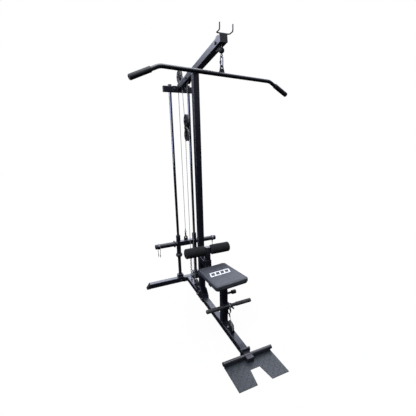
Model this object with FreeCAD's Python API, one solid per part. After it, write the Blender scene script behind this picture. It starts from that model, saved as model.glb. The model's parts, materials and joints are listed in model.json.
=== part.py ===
import FreeCAD, Part
import math
import os

# Plate-loaded lat pulldown with a low row. Millimetres.
# +Z up, +X to the right of somebody facing the machine, -Y towards the seat and the foot plate.
# The origin is on the floor, on the axis of the upright post.

V = FreeCAD.Vector
X = V(1, 0, 0)
Y = V(0, 1, 0)
Z = V(0, 0, 1)

# driving dimensions
tube = 50.0
wall = 3.0
corner = 4.0
half = tube / 2
floor_bar_y = 412.0
floor_bar_bottom = 455.0
floor_bar_top = 417.0
beam_rear = 381.0
beam_front = -797.0
flange_t = 6.0
rod_x = 88.0
rod_y = 424.0
rod_r = 12.5
rod_top = 1951.0
cross_low = 1899.0
cross_high = 1949.0
cross_half = 146.0
cross_front = 404.0
cross_rear = 444.0
boom_z0 = 1992.0
boom_slope = 0.13835
boom_front = -509.0
boom_rear = 392.0
cable_r = 2.5
big_pulley = 56.0
big_pitch = 52.0
small_pulley = 45.0
small_pitch = 41.0
pulley_w = 22.0
axle_r = 5.0
rear_pulley_y = 397.0
rear_pulley_z = 2028.0
block_y = 250.0
block_up_z = 1640.0
block_low_z = 1520.0
mid_pulley_y = 157.0
front_pulley_y = -439.0
low_pulley_z = 78.0
low_rear_y = 157.0
low_front_y = -577.0
horn_z = 430.0
horn_r = 24.15
horn_end = 312.0
horn_cap_r = 24.6
sleeve_r = 22.5
sleeve_low = 326.0
sleeve_high = 515.0
eye_y = 442.0
lat_y = -480.0
lat_z = 1866.0
lat_turn = 9.7
lat_straight = 420.0
lat_reach = 597.0
lat_drop = 78.0
bar_r = 12.7
grip_r = 16.5
row_y = -562.0
row_z = 249.0
row_half = 187.0
seat_y = -437.0
seat_post_y = -467.0
seat_top = 463.0
seat_front_w = 290.0
seat_back_w = 256.0
seat_d = 340.0
seat_t = 43.0
seat_turn = 5.5
roller_y = -157.0
roller_z = 552.0
roller_r = 43.0
roller_out = 200.0
foot_y = -840.0
foot_z = 29.0
foot_r = 13.5
foot_half = 191.0
plate_half = 184.0
plate_front = -1050.0
plate_rear = -845.0


def box(x0, x1, y0, y1, z0, z1):
    return Part.makeBox(x1 - x0, y1 - y0, z1 - z0, V(x0, y0, z0))


def rod(a, b, r):
    d = b.sub(a)
    return Part.makeCylinder(r, d.Length, a, d)


def pipe_straight(a, b, r, ri):
    return rod(a, b, r).cut(rod(a, b, ri))


def rounded_wire(w, h, r):
    pts = []
    for sx, sy in ((1, 1), (-1, 1), (-1, -1), (1, -1)):
        pts.append((sx, sy, V(sx * (w / 2 - r), sy * (h / 2 - r), 0)))
    edges = []
    for i in range(4):
        sx, sy, c = pts[i]
        start = math.radians(90 * i)
        p = []
        for k in (0, 0.5, 1):
            t = start + k * math.pi / 2
            p.append(c.add(V(r * math.cos(t), r * math.sin(t), 0)))
        edges.append(Part.Arc(p[0], p[1], p[2]).toShape())
        nx = pts[(i + 1) % 4][2]
        t = math.radians(90 * (i + 1))
        q = nx.add(V(r * math.cos(t), r * math.sin(t), 0))
        edges.append(Part.LineSegment(p[2], q).toShape())
    return Part.Wire(edges)


def bar_section(w, h, length, r=corner):
    return Part.Face(rounded_wire(w, h, r)).extrude(V(0, 0, length))


def tube_section(w, h, length, t=wall, r=corner):
    inner = bar_section(w - 2 * t, h - 2 * t, length + 2, max(1.0, r - t))
    inner.translate(V(0, 0, -1))
    return bar_section(w, h, length, r).cut(inner)


def lay_y(shape, x, y, z):
    # a section made along +Z is laid along +Y, its own Y becoming Z
    s = shape.copy()
    s.rotate(V(0, 0, 0), X, -90)
    s.translate(V(x, y, z))
    return s


def lay_x(shape, x, y, z):
    s = shape.copy()
    s.rotate(V(0, 0, 0), Y, 90)
    s.translate(V(x, y, z))
    return s


def boom_axis(y):
    return boom_z0 - boom_slope * y


def fuse(parts):
    s = parts[0]
    if len(parts) > 1:
        s = s.fuse(parts[1:])
    return s.removeSplitter()


def group(parts):
    return Part.makeCompound(parts)


def cut_all(shape, tools):
    for t in tools:
        shape = shape.cut(t)
    return shape


def hexagon(p, d, af, h):
    r = af / math.sqrt(3)
    pts = []
    for i in range(7):
        t = math.radians(60 * i)
        pts.append(V(r * math.cos(t), r * math.sin(t), 0))
    s = Part.Face(Part.makePolygon(pts)).extrude(V(0, 0, h))
    s.Placement = FreeCAD.Placement(p, FreeCAD.Rotation(Z, d))
    return s


def screw(p, d, grip, r=4.0, washer=2.1):
    # p is on the clamped face under the washer, d points out of the head
    d = V(d).normalize()
    back = p.sub(V(d).multiply(grip))
    parts = [rod(p, p.add(V(d).multiply(1.6)), r * washer)]
    parts.append(hexagon(p.add(V(d).multiply(1.6)), d, r * 3.3, r * 1.3))
    end = back.sub(V(d).multiply(r * 2.2))
    parts.append(rod(end, p, r))
    parts.append(rod(back.sub(V(d).multiply(1.6)), back, r * washer))
    parts.append(hexagon(back.sub(V(d).multiply(1.6)), V(d).multiply(-1), r * 3.3, r * 1.5))
    return fuse(parts)


def screw_hole(p, d, grip, r=4.0):
    d = V(d).normalize()
    a = p.add(V(d).multiply(1))
    b = p.sub(V(d).multiply(grip + 1))
    return rod(a, b, r + 0.3)


def pulley(y, z, r, pitch):
    w = pulley_w / 2
    bore = axle_r + 0.06
    throat = pitch - cable_r - 0.2
    pts = [V(-w - 1.5, bore, 0), V(-w - 1.5, 13, 0), V(-w + 2.5, 13, 0), V(-w + 2.5, r - 13, 0)]
    pts += [V(-w, r - 11, 0), V(-w, r - 1, 0), V(-w + 1, r, 0), V(-w + 4, r, 0), V(-3, throat, 0)]
    pts += [V(3, throat, 0), V(w - 4, r, 0), V(w - 1, r, 0), V(w, r - 1, 0), V(w, r - 11, 0)]
    pts += [V(w - 2.5, r - 13, 0), V(w - 2.5, 13, 0), V(w + 1.5, 13, 0), V(w + 1.5, bore, 0)]
    pts.append(pts[0])
    s = Part.Face(Part.makePolygon(pts)).revolve(V(0, 0, 0), X, 360)
    s.translate(V(0, y, z))
    return s


def axle_screw(y, z, out):
    # bolt through a pulley, head on the left; out is the outer face of whatever carries it
    a = V(-out, y, z)
    parts = [rod(V(-out - 1.6, y, z), a, 10.0)]
    parts.append(hexagon(V(-out - 1.6, y, z), V(-1, 0, 0), 17.0, 6.4))
    parts.append(rod(a, V(out + 12, y, z), axle_r))
    parts.append(rod(V(out, y, z), V(out + 1.6, y, z), 10.0))
    parts.append(hexagon(V(out + 1.6, y, z), X, 17.0, 8.0))
    return fuse(parts)


def spacer(y, z, inner, outer):
    # washers between the hub and whatever carries the axle
    s = []
    for sx in (-1, 1):
        x0, x1 = sorted((sx * inner, sx * outer))
        s.append(pipe_straight(V(x0, y, z), V(x1, y, z), 9.0, axle_r + 0.1))
    return s


# cable geometry, all in the plane X = 0; points are (y, z)

def tangent_point(p, c, r, side):
    # point where the line from p touches circle c; side +1 or -1 picks one of the two
    dy, dz = p[0] - c[0], p[1] - c[1]
    dist = math.hypot(dy, dz)
    a = math.atan2(dz, dy) + side * math.acos(r / dist)
    return (c[0] + r * math.cos(a), c[1] + r * math.sin(a))


def inner_tangent(c1, r1, c2, r2, side):
    dy, dz = c2[0] - c1[0], c2[1] - c1[1]
    dist = math.hypot(dy, dz)
    base = math.atan2(dz, dy)
    a = side * math.acos((r1 + r2) / dist)
    t1 = base + a
    p1 = (c1[0] + r1 * math.cos(t1), c1[1] + r1 * math.sin(t1))
    p2 = (c2[0] - r2 * math.cos(t1), c2[1] - r2 * math.sin(t1))
    return p1, p2


def run_solid(a, b):
    return rod(V(0, a[0], a[1]), V(0, b[0], b[1]), cable_r)


def arc_solid(c, r, a0, a1):
    # cable bent round a pulley from angle a0 to a1 (degrees, in the Y-Z plane)
    angle = a1 - a0
    circle = Part.Face(Part.Wire(Part.makeCircle(cable_r, V(0, c[0] + r, c[1]), Z)))
    s = circle.revolve(V(0, c[0], c[1]), X, angle)
    s.rotate(V(0, c[0], c[1]), X, a0)
    return s


def angle_of(p, c):
    return math.degrees(math.atan2(p[1] - c[1], p[0] - c[0]))


rear_c = (rear_pulley_y, rear_pulley_z)
up_c = (block_y, block_up_z)
low_c = (block_y, block_low_z)
mid_c = (mid_pulley_y, boom_axis(mid_pulley_y))
front_c = (front_pulley_y, boom_axis(front_pulley_y))
lr_c = (low_rear_y, low_pulley_z)
lf_c = (low_front_y, low_pulley_z)
eye_top = (eye_y, 570.0)
row_end = (row_y, 179.1)

a_top = tangent_point(eye_top, rear_c, big_pitch, 1)
b_top, b_low = inner_tangent(rear_c, big_pitch, up_c, big_pitch, 1)
if b_low[0] < block_y:
    b_top, b_low = inner_tangent(rear_c, big_pitch, up_c, big_pitch, -1)
if a_top[0] < rear_pulley_y:
    a_top = tangent_point(eye_top, rear_c, big_pitch, -1)
c_y = block_y - big_pitch
row_t = tangent_point(row_end, lf_c, small_pitch, 1)
boom_angle = math.degrees(math.atan(boom_slope))
lat_x_y = front_pulley_y - small_pitch
lat_run_low = 2032.0
ball_z = 2003.0


def seg_over(c, r, p, q):
    # arc from p to q going over the top of the pulley; p is behind, q is in front
    a0 = angle_of(p, c)
    a1 = angle_of(q, c)
    if a1 < a0:
        a1 += 360
    return arc_solid(c, r, a0, a1)


def cables_fixed():
    s = [seg_over(rear_c, big_pitch, a_top, b_top)]
    # up over the pulley in the boom, along inside it, over the front pulley
    up = 90 - boom_angle
    t = math.radians(up)
    m0 = (mid_c[0] + small_pitch, mid_c[1])
    m1 = (mid_c[0] + small_pitch * math.cos(t), mid_c[1] + small_pitch * math.sin(t))
    f0 = (front_c[0] + small_pitch * math.cos(t), front_c[1] + small_pitch * math.sin(t))
    f1 = (front_c[0] - small_pitch, front_c[1])
    over = [seg_over(mid_c, small_pitch, m0, m1), run_solid(m1, f0), seg_over(front_c, small_pitch, f0, f1)]
    s.append(fuse(over))
    # down the back of the low rear pulley, forward in the floor beam, round the low front pulley
    l1 = (low_rear_y, low_pulley_z - small_pitch)
    l2 = (low_front_y, low_pulley_z - small_pitch)
    back = arc_solid(lr_c, small_pitch, -90, 0)
    a_row = angle_of(row_t, lf_c)
    front = arc_solid(lf_c, small_pitch, a_row, 270)
    s.append(fuse([back, run_solid(l1, l2), front]))
    return group(s)


def cable_block_arcs():
    a0 = angle_of(b_low, up_c)
    s = [arc_solid(up_c, big_pitch, -180, a0)]
    s.append(arc_solid(low_c, big_pitch, 0, 180))
    return group(s)


def cable_runs_upper():
    down = run_solid(b_low, b_top)
    up = run_solid((c_y, block_up_z), (c_y, mid_c[1]))
    return group([down, up])


def boom_solid():
    # outer shape of the boom: front cut square, rear cut upright
    length = (boom_rear + 60 - boom_front) * math.hypot(1, boom_slope)
    s = bar_section(tube, tube, length, corner)
    s = lay_y(s, 0, 0, 0)
    s.rotate(V(0, 0, 0), X, -boom_angle)
    s.translate(V(0, boom_front, boom_axis(boom_front)))
    return s


def boom():
    length = (boom_rear + 60 - boom_front) * math.hypot(1, boom_slope)
    s = tube_section(tube, tube, length)
    s = lay_y(s, 0, 0, 0)
    s.rotate(V(0, 0, 0), X, -boom_angle)
    s.translate(V(0, boom_front, boom_axis(boom_front)))
    s = s.cut(box(-60, 60, boom_rear, boom_rear + 200, 1700, 2200))
    for c in (mid_c, front_c):
        y0 = c[0] - small_pulley - 5
        y1 = c[0] + small_pulley + 5
        s = s.cut(box(-14, 14, y0, y1, c[1] - 60, c[1] + 60))
        s = s.cut(rod(V(-60, c[0], c[1]), V(60, c[0], c[1]), axle_r + 0.3))
    # the cable from the rear pulley passes down through the boom
    return s.cut(box(-7, 7, 326, 350, 1880, 2010))


def upright_post():
    s = tube_section(tube, tube, 2000)
    s.translate(V(0, 0, 50 + flange_t))
    s = s.cut(boom_solid())
    s = s.cut(box(-60, 60, -60, 60, 1988, 2300))
    return cut_all(s, [screw_hole(*a) for a in foot_side_screws()])


def foot_side_screws():
    return [(V(31, 0, 80), X, 62.0, 5.0)]


def beam_side_screws():
    return [(V(31, y, 25), X, 62.0, 5.0) for y in (-55, 55)]


def upright_foot():
    s = [box(-25, 25, -80, 80, 50, 50 + flange_t)]
    for sx in (-1, 1):
        x0, x1 = sorted((sx * 25.0, sx * 31.0))
        p = [V(x0, -80, 6), V(x0, 80, 6), V(x0, 80, 62), V(x0, 36, 118), V(x0, -36, 118), V(x0, -80, 62)]
        p.append(p[0])
        s.append(Part.Face(Part.makePolygon(p)).extrude(V(x1 - x0, 0, 0)))
    f = fuse(s)
    return cut_all(f, [screw_hole(*a) for a in foot_side_screws() + beam_side_screws()])


def joint_flanges():
    rear = box(-66, 66, beam_rear, beam_rear + flange_t, 1, 49)
    front = box(-36.5, 36.5, beam_front - flange_t, beam_front, 1, 57)
    front2 = box(-36.5, 36.5, beam_front - 2 * flange_t, beam_front - flange_t, 1, 57)
    top = box(-68, 68, cross_front - flange_t - 6, cross_front, cross_low, cross_high)
    rear = cut_all(rear, [screw_hole(*a) for a in rear_screws()])
    top = cut_all(top, [screw_hole(*a) for a in top_screws()])
    front = cut_all(front, [screw_hole(*a) for a in nose_screws()])
    front2 = cut_all(front2, [screw_hole(*a) for a in nose_screws()])
    parts = [rear, front, front2, top, upright_foot()]
    return group(parts)


def rear_screws():
    return [(V(x, beam_rear, 24), V(0, -1, 0), 56.0, 5.0) for x in (-51.0, 51.0)]


def top_screws():
    return [(V(x, cross_front - flange_t - 6, 1927), V(0, -1, 0), 52.0, 5.0) for x in (-51.0, 51.0)]


def nose_screws():
    return [(V(x, beam_front - 2 * flange_t, 44), V(0, -1, 0), 12.0, 3.0) for x in (-31.0, 31.0)]


def socket_screws():
    return [(V(x, beam_rear, 24), V(0, -1, 0), 56.0, 5.0) for x in (-88.0, 88.0)]


def rear_crossbar():
    s = tube_section(tube, tube, 2 * floor_bar_top)
    s = lay_x(s, -floor_bar_top, floor_bar_y, half)
    holes = [screw_hole(*a) for a in rear_screws() + socket_screws()]
    return cut_all(s, holes)


def top_crossbeam():
    s = tube_section(cross_high - cross_low, cross_rear - cross_front, 2 * cross_half)
    s = lay_x(s, -cross_half, (cross_front + cross_rear) / 2, (cross_low + cross_high) / 2)
    holes = [screw_hole(*a) for a in top_screws()]
    for sx in (-1, 1):
        holes.append(rod(V(sx * rod_x, rod_y, 1800), V(sx * rod_x, rod_y, 2000), rod_r + 0.1))
    return cut_all(s, holes)


def base_beam():
    s = tube_section(tube, tube, beam_rear - beam_front)
    s = lay_y(s, 0, beam_front, half)
    for y in (low_rear_y, low_front_y):
        s = s.cut(box(-14, 14, y - small_pulley - 5, y + small_pulley + 5, 30, 60))
    holes = [screw_hole(*a) for a in beam_side_screws()]
    holes.append(rod(V(0, c_y + 104, 30), V(0, c_y + 104, 60), 5.3))
    return cut_all(s, holes)


def wedge_cap(sx):
    p = [V(0, floor_bar_y - half, 0), V(0, floor_bar_y + half, 0)]
    x0 = sx * floor_bar_top
    x1 = sx * floor_bar_bottom
    x2 = sx * (floor_bar_top + 4)
    pts = [V(x0, p[0].y, 0), V(x1, p[0].y, 0), V(x2, p[0].y, 50), V(x0, p[0].y, 50)]
    pts.append(pts[0])
    s = Part.Face(Part.makePolygon(pts)).extrude(V(0, tube, 0))
    return s


def flat_cap_x(x0, x1, y, z, w, h):
    s = bar_section(w, h, x1 - x0, corner)
    return lay_x(s, x0, y, z)


def tube_end_caps():
    s = [wedge_cap(-1), wedge_cap(1)]
    cy = (cross_front + cross_rear) / 2
    cz = (cross_low + cross_high) / 2
    s.append(flat_cap_x(-cross_half - 5, -cross_half, cy, cz, 50, 40))
    s.append(flat_cap_x(cross_half, cross_half + 5, cy, cz, 50, 40))
    for sx in (-1, 1):
        a, b = sorted((sx * (foot_half - 6), sx * foot_half))
        s.append(rod(V(a, foot_y, foot_z), V(b, foot_y, foot_z), foot_r + 0.6))
    nose = lay_y(bar_section(tube + 1, tube + 1, 5, corner), 0, -5, 0)
    nose.rotate(V(0, 0, 0), X, -boom_angle)
    nose.translate(V(0, boom_front, boom_axis(boom_front)))
    s.append(nose)
    return group(s)


def foot_bar():
    y0 = foot_y - 40
    y1 = beam_front - 2 * flange_t
    bar = rod(V(-foot_half + 6, foot_y, foot_z), V(foot_half - 6, foot_y, foot_z), foot_r)
    stub = box(-25, 25, y0, y1, 4.5, 38)
    s = fuse([bar, stub])
    return cut_all(s, [rod(V(x, y1, 44), V(x, y1 - 12, 44), 8) for x in (-31.0, 31.0)])


def foot_plate():
    pts = [V(-plate_half, plate_rear, 0), V(-plate_half, plate_front, 0), V(-55, plate_front, 0)]
    pts += [V(-36, -932, 0), V(36, -932, 0), V(55, plate_front, 0), V(plate_half, plate_front, 0)]
    pts += [V(plate_half, plate_rear, 0), V(-plate_half, plate_rear, 0)]
    base = Part.Face(Part.makePolygon(pts)).extrude(V(0, 0, 4.5))
    lips = []
    for sx in (-1, 1):
        a, b = sorted((sx * 25.3, sx * plate_half))
        lips.append(box(a, b, plate_rear, plate_rear + 4, 0, 17.5))
    back = box(-plate_half, plate_half, plate_rear, plate_rear + 4, 0, 4.5)
    s = fuse([base, back] + lips)
    return s.cut(rod(V(-300, foot_y, foot_z), V(300, foot_y, foot_z), foot_r + 0.02))


def guide_rods():
    s = []
    for sx in (-1, 1):
        s.append(rod(V(sx * rod_x, rod_y, 56), V(sx * rod_x, rod_y, rod_top), rod_r))
    return group(s)


def rod_sockets():
    s = []
    for sx in (-1, 1):
        x = sx * rod_x
        top = box(x - 34, x + 34, beam_rear, 437, 50, 56)
        a = box(x - 34, x + 34, beam_rear, beam_rear + 6, 8, 50)
        if sx < 0:
            a = box(x - 34, -66.5, beam_rear, beam_rear + 6, 8, 50)
            a = fuse([a, box(-66.5, x + 34, beam_rear, beam_rear + 6, 49.2, 50)])
        else:
            a = box(66.5, x + 34, beam_rear, beam_rear + 6, 8, 50)
            a = fuse([a, box(x - 34, 66.5, beam_rear, beam_rear + 6, 49.2, 50)])
        collar = pipe_straight(V(x, rod_y, 56), V(x, rod_y, 92), 20.0, rod_r + 0.05)
        foot = bar_section(60, 46, 26, 4)
        foot.translate(V(x, rod_y, 56))
        foot = foot.cut(rod(V(x, rod_y, 50), V(x, rod_y, 90), 19.0))
        b = fuse([top, a, foot, collar])
        s.append(b)
    g = group(s)
    return cut_all(g, [screw_hole(*a) for a in socket_screws()])


def stop_tubes():
    s = []
    for sx in (-1, 1):
        s.append(pipe_straight(V(sx * rod_x, rod_y, 92), V(sx * rod_x, rod_y, 286), 16.0, rod_r + 0.3))
    return group(s)


def bumpers():
    s = []
    ri = rod_r + 0.4
    p = [V(ri, 0, 286), V(27, 0, 286), V(34, 0, 303), V(27, 0, 320.6), V(ri, 0, 320.6)]
    e = [Part.LineSegment(p[0], p[1]).toShape(), Part.Arc(p[1], p[2], p[3]).toShape()]
    e += [Part.LineSegment(p[3], p[4]).toShape(), Part.LineSegment(p[4], p[0]).toShape()]
    for sx in (-1, 1):
        b = Part.Face(Part.Wire(e)).revolve(V(0, 0, 0), Z, 360)
        b.translate(V(sx * rod_x, rod_y, 0))
        s.append(b)
    return group(s)


def carriage_frame():
    parts = []
    mid = lay_x(tube_section(tube, tube, 2 * rod_x), -rod_x, rod_y, horn_z)
    for sx in (-1, 1):
        c = rod(V(sx * rod_x, rod_y, sleeve_low), V(sx * rod_x, rod_y, sleeve_high), sleeve_r)
        mid = mid.cut(c)
    keep = mid.common(box(-rod_x + 5, rod_x - 5, 380, 480, 380, 480))
    parts.append(keep)
    for sx in (-1, 1):
        a = V(sx * rod_x, rod_y, sleeve_low)
        b = V(sx * rod_x, rod_y, sleeve_high)
        parts.append(pipe_straight(a, b, sleeve_r, 15.5))
    eye = box(-20, 20, eye_y - 4, eye_y + 4, horn_z + half, 478)
    eye = eye.fuse(rod(V(0, eye_y - 4, 478), V(0, eye_y + 4, 478), 20))
    eye = eye.cut(rod(V(0, 400, 482), V(0, 480, 482), 8))
    parts.append(eye)
    return fuse(parts)


def slide_bushings():
    s = []
    for sx in (-1, 1):
        x = sx * rod_x
        low = (sleeve_low, 356, sleeve_low - 5, sleeve_low)
        high = (485, sleeve_high, sleeve_high, sleeve_high + 5)
        for z0, z1, f0, f1 in (low, high):
            a = pipe_straight(V(x, rod_y, z0), V(x, rod_y, z1), 15.40, rod_r + 0.08)
            b = pipe_straight(V(x, rod_y, f0), V(x, rod_y, f1), sleeve_r, rod_r + 0.08)
            s.append(fuse([a, b]))
    return group(s)


def weight_horns():
    s = []
    for sx in (-1, 1):
        a = V(sx * (rod_x + 14), rod_y, horn_z)
        a = pipe_straight(a, V(sx * horn_end, rod_y, horn_z), horn_r, horn_r - 3.5)
        x0, x1 = sorted((sx * 128, sx * 136))
        f = rod(V(x0, rod_y, horn_z), V(x1, rod_y, horn_z), 35)
        f = f.cut(rod(V(x0 - 1, rod_y, horn_z), V(x1 + 1, rod_y, horn_z), horn_r - 1))
        h = fuse([a, f])
        s.append(h.cut(rod(V(sx * rod_x, rod_y, 300), V(sx * rod_x, rod_y, 600), sleeve_r)))
    return group(s)


def horn_caps():
    s = []
    for sx in (-1, 1):
        a = rod(V(sx * horn_end, rod_y, horn_z), V(sx * (horn_end + 16), rod_y, horn_z), horn_cap_r)
        b = Part.makeCone(horn_cap_r, horn_cap_r - 5, 4, V(sx * (horn_end + 16), rod_y, horn_z), V(sx, 0, 0))
        c = rod(V(sx * (horn_end - 14), rod_y, horn_z), V(sx * horn_end, rod_y, horn_z), horn_r - 3.55)
        s.append(fuse([a, b, c]))
    return group(s)


def link_ring(c, along, across, length, width, r):
    # closed oval link of round wire, long axis along, its plane holding along and across
    a = (length - width) / 2
    w = width / 2 - r
    u = V(along).normalize()
    v = V(across).normalize()
    n = u.cross(v)
    parts = []
    for side in (-1, 1):
        leg = c.add(V(v).multiply(side * w))
        parts.append(rod(leg.sub(V(u).multiply(a)), leg.add(V(u).multiply(a)), r))
        end = c.add(V(u).multiply(side * a))
        face = Part.Face(Part.Wire(Part.makeCircle(r, end.add(V(v).multiply(w)), u)))
        parts.append(face.revolve(end, n, -180 * side))
    return fuse(parts)


def eye_end(c, ro, r, plane, top):
    # swaged cable end: a ring with a ferrule above it
    ring = Part.makeTorus(ro, r, c, plane)
    ferrule = rod(V(c.x, c.y, c.z + ro), V(c.x, c.y, top), 4.5)
    return fuse([ring, ferrule])


def carriage_link():
    a = link_ring(V(0, eye_y, 512.8), Z, Y, 62, 30, 3.5)
    b = eye_end(V(0, eye_y, 542.7), 8.5, 2.4, Y, 569.8)
    return group([a, b])


def block_bolt_spots():
    return [(block_y, block_up_z, True), (block_y, block_low_z, True), (block_y, 1580.0, False)]


def block_plates():
    s = []
    for sx in (-1, 1):
        x0, x1 = sorted((sx * 14.0, sx * 18.0))
        p = box(x0, x1, block_y - 17, block_y + 17, block_low_z, block_up_z)
        p = p.fuse(rod(V(x0, block_y, block_up_z), V(x1, block_y, block_up_z), 17))
        p = p.fuse(rod(V(x0, block_y, block_low_z), V(x1, block_y, block_low_z), 17))
        for y, z, axle in block_bolt_spots():
            p = p.cut(rod(V(x0 - 1, y, z), V(x1 + 1, y, z), (axle_r if axle else 4.0) + 0.2))
        s.append(p.removeSplitter())
    return group(s)


def block_bolts():
    s = []
    for y, z, axle in block_bolt_spots():
        if axle:
            s.append(axle_screw(y, z, 18.0))
        else:
            s.append(screw(V(-18, y, z), V(-1, 0, 0), 36.0, 4.0))
    return group(s)


def axle_holed(shape, x0, x1, y, z):
    return shape.cut(rod(V(x0 - 1, y, z), V(x1 + 1, y, z), axle_r + 0.2))


def pulley_brackets():
    s = []
    b = boom_solid()
    for sx in (-1, 1):
        x0, x1 = sorted((sx * 14.0, sx * 18.0))
        y = rear_pulley_y
        z = rear_pulley_z
        p = [V(x0, y - 60, 1960), V(x0, y - 6, 1960), V(x0, y + 20, z), V(x0, y + 12, z + 16)]
        p += [V(x0, y - 12, z + 16), V(x0, y - 20, z), p[0]]
        rear = Part.Face(Part.makePolygon(p)).extrude(V(x1 - x0, 0, 0))
        s.append(axle_holed(rear.cut(b), x0, x1, y, z))
        for y in (low_rear_y, low_front_y):
            q = [V(x0, y - 38, 50), V(x0, y + 38, 50), V(x0, y + 15, low_pulley_z + 16)]
            q += [V(x0, y - 15, low_pulley_z + 16), V(x0, y - 38, 50)]
            c = Part.Face(Part.makePolygon(q)).extrude(V(x1 - x0, 0, 0))
            s.append(axle_holed(c, x0, x1, y, low_pulley_z))
    return group(s)


def pulley_bolts():
    s = [axle_screw(rear_pulley_y, rear_pulley_z, 18.0)]
    s.append(axle_screw(mid_c[0], mid_c[1], half))
    s.append(axle_screw(front_c[0], front_c[1], half))
    s.append(axle_screw(low_rear_y, low_pulley_z, 18.0))
    s.append(axle_screw(low_front_y, low_pulley_z, 18.0))
    for c in (mid_c, front_c):
        s += spacer(c[0], c[1], 12.7, half - wall)
    return group(s)


def anchor_chain():
    s = []
    y = c_y + 104
    z = 278.0
    pitch = 20.3
    n = 9
    for i in range(n):
        across = X if i % 2 == 0 else Y
        s.append(link_ring(V(0, y, z - pitch * i), Z, across, 31, 19, 2.6))
    last = z - pitch * (n - 1)
    s.append(Part.makeTorus(9.5, 3.5, V(0, y, last - 16.1), X if n % 2 else Y))
    shank = rod(V(0, y, 40), V(0, y, last - 26), 5.0)
    nut = hexagon(V(0, y, 50), Z, 16, 8)
    s[-1] = fuse([s[-1], shank, nut])
    top = eye_end(V(0, y, z + 16.2), 8.5, 2.4, X, z + 45)
    s.append(top)
    return group(s)


def frame_bolts():
    spots = rear_screws() + socket_screws() + top_screws() + foot_side_screws() + beam_side_screws()
    s = [screw(*a) for a in spots]
    s += [screw(*a, 1.8) for a in nose_screws()]
    for sx in (-1, 1):
        z = cross_high
        w = pipe_straight(V(sx * rod_x, rod_y, z), V(sx * rod_x, rod_y, z + 2.4), 19.0, rod_r + 0.05)
        n = hexagon(V(sx * rod_x, rod_y, z + 2.4), Z, 30, 12)
        bore = rod(V(sx * rod_x, rod_y, z), V(sx * rod_x, rod_y, rod_top + 0.2), rod_r + 0.05)
        s.append(fuse([w, n.cut(bore)]))
    return group(s)


def seat_receiver():
    y = seat_post_y
    post = tube_section(tube, tube, 334 - 56)
    post.translate(V(0, y, 56))
    plate = box(-25, 25, y - 34, y + 60, 50, 56)
    s = fuse([post, plate])
    s = s.cut(rod(V(10, y, 295), V(60, y, 295), 5.2))
    # the row handle rests on a welded prong in front of the post
    low = row_z - bar_r
    prongs = []
    for sx in (-1, 1):
        x0, x1 = sorted((sx * 20.5, sx * 28.5))
        prongs.append(box(x0, x1, row_y - 22, y - half, low - 8, low))
        prongs.append(box(x0, x1, row_y - 26, row_y - 20, low - 8, low + 4))
        web = [V(x0, y - half, low - 45), V(x0, y - half, low - 8), V(x0, row_y - 5, low - 8)]
        web.append(web[0])
        prongs.append(Part.Face(Part.makePolygon(web)).extrude(V(x1 - x0, 0, 0)))
    barrel = pipe_straight(V(half, y, 295), V(66, y, 295), 9.0, 5.2)
    return fuse([s, barrel] + prongs)


def roller_receiver():
    y = roller_y
    post = tube_section(tube, tube, 458 - 330)
    post.translate(V(0, y, 330))
    arm = tube_section(tube, tube, -half - (y + half))
    arm = lay_y(arm, 0, y + half, 419)
    s = fuse([post, arm])
    s = s.cut(rod(V(0, y - 60, 405), V(0, y - 10, 405), 5.2))
    barrel = pipe_straight(V(0, y - half, 405), V(0, y - half - 22, 405), 8.0, 5.2)
    return fuse([s, barrel])


def post_bushings():
    s = []
    seat = (seat_post_y, 334.0, (V(10, seat_post_y, 295), V(60, seat_post_y, 295)))
    roller = (roller_y, 458.0, (V(0, roller_y - 10, 405), V(0, roller_y - 60, 405)))
    for y, z, pin in (seat, roller):
        liner = tube_section(43.9, 43.9, 90, 1.75, 3.0)
        liner.translate(V(0, y, z - 90))
        lip = tube_section(51, 51, 5, 5.3, corner)
        lip.translate(V(0, y, z))
        b = fuse([liner, lip])
        s.append(b.cut(rod(pin[0], pin[1], 5.2)))
    return group(s)


def bar_hook():
    r = 4.0
    z = boom_axis(-500) + half * math.hypot(1, boom_slope) + r + 0.2
    y = -500.0
    xs = 44.0
    tip = z + 38
    b = 11.0
    edges = []

    def arc(p, q, s_):
        edges.append(Part.Arc(p, q, s_).toShape())

    def line(p, q):
        edges.append(Part.LineSegment(p, q).toShape())

    k = b * (1 - math.sqrt(0.5))
    f = -548.0
    line(V(-xs, f, tip), V(-xs, f, z + b))
    arc(V(-xs, f, z + b), V(-xs, f + k, z + k), V(-xs, f + b, z))
    line(V(-xs, f + b, z), V(-xs, y - b, z))
    arc(V(-xs, y - b, z), V(-xs + k, y - k, z), V(-xs + b, y, z))
    line(V(-xs + b, y, z), V(xs - b, y, z))
    arc(V(xs - b, y, z), V(xs - k, y - k, z), V(xs, y - b, z))
    line(V(xs, y - b, z), V(xs, f + b, z))
    arc(V(xs, f + b, z), V(xs, f + k, z + k), V(xs, f, z + b))
    line(V(xs, f, z + b), V(xs, f, tip))
    path = Part.Wire(edges)
    prof = Part.Wire(Part.makeCircle(r, V(-xs, f, tip), V(0, 0, -1)))
    return path.makePipeShell([prof], True, True)


def turned(shape, angle, x, y):
    s = shape.copy()
    s.rotate(V(x, y, 0), Z, angle)
    return s


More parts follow.
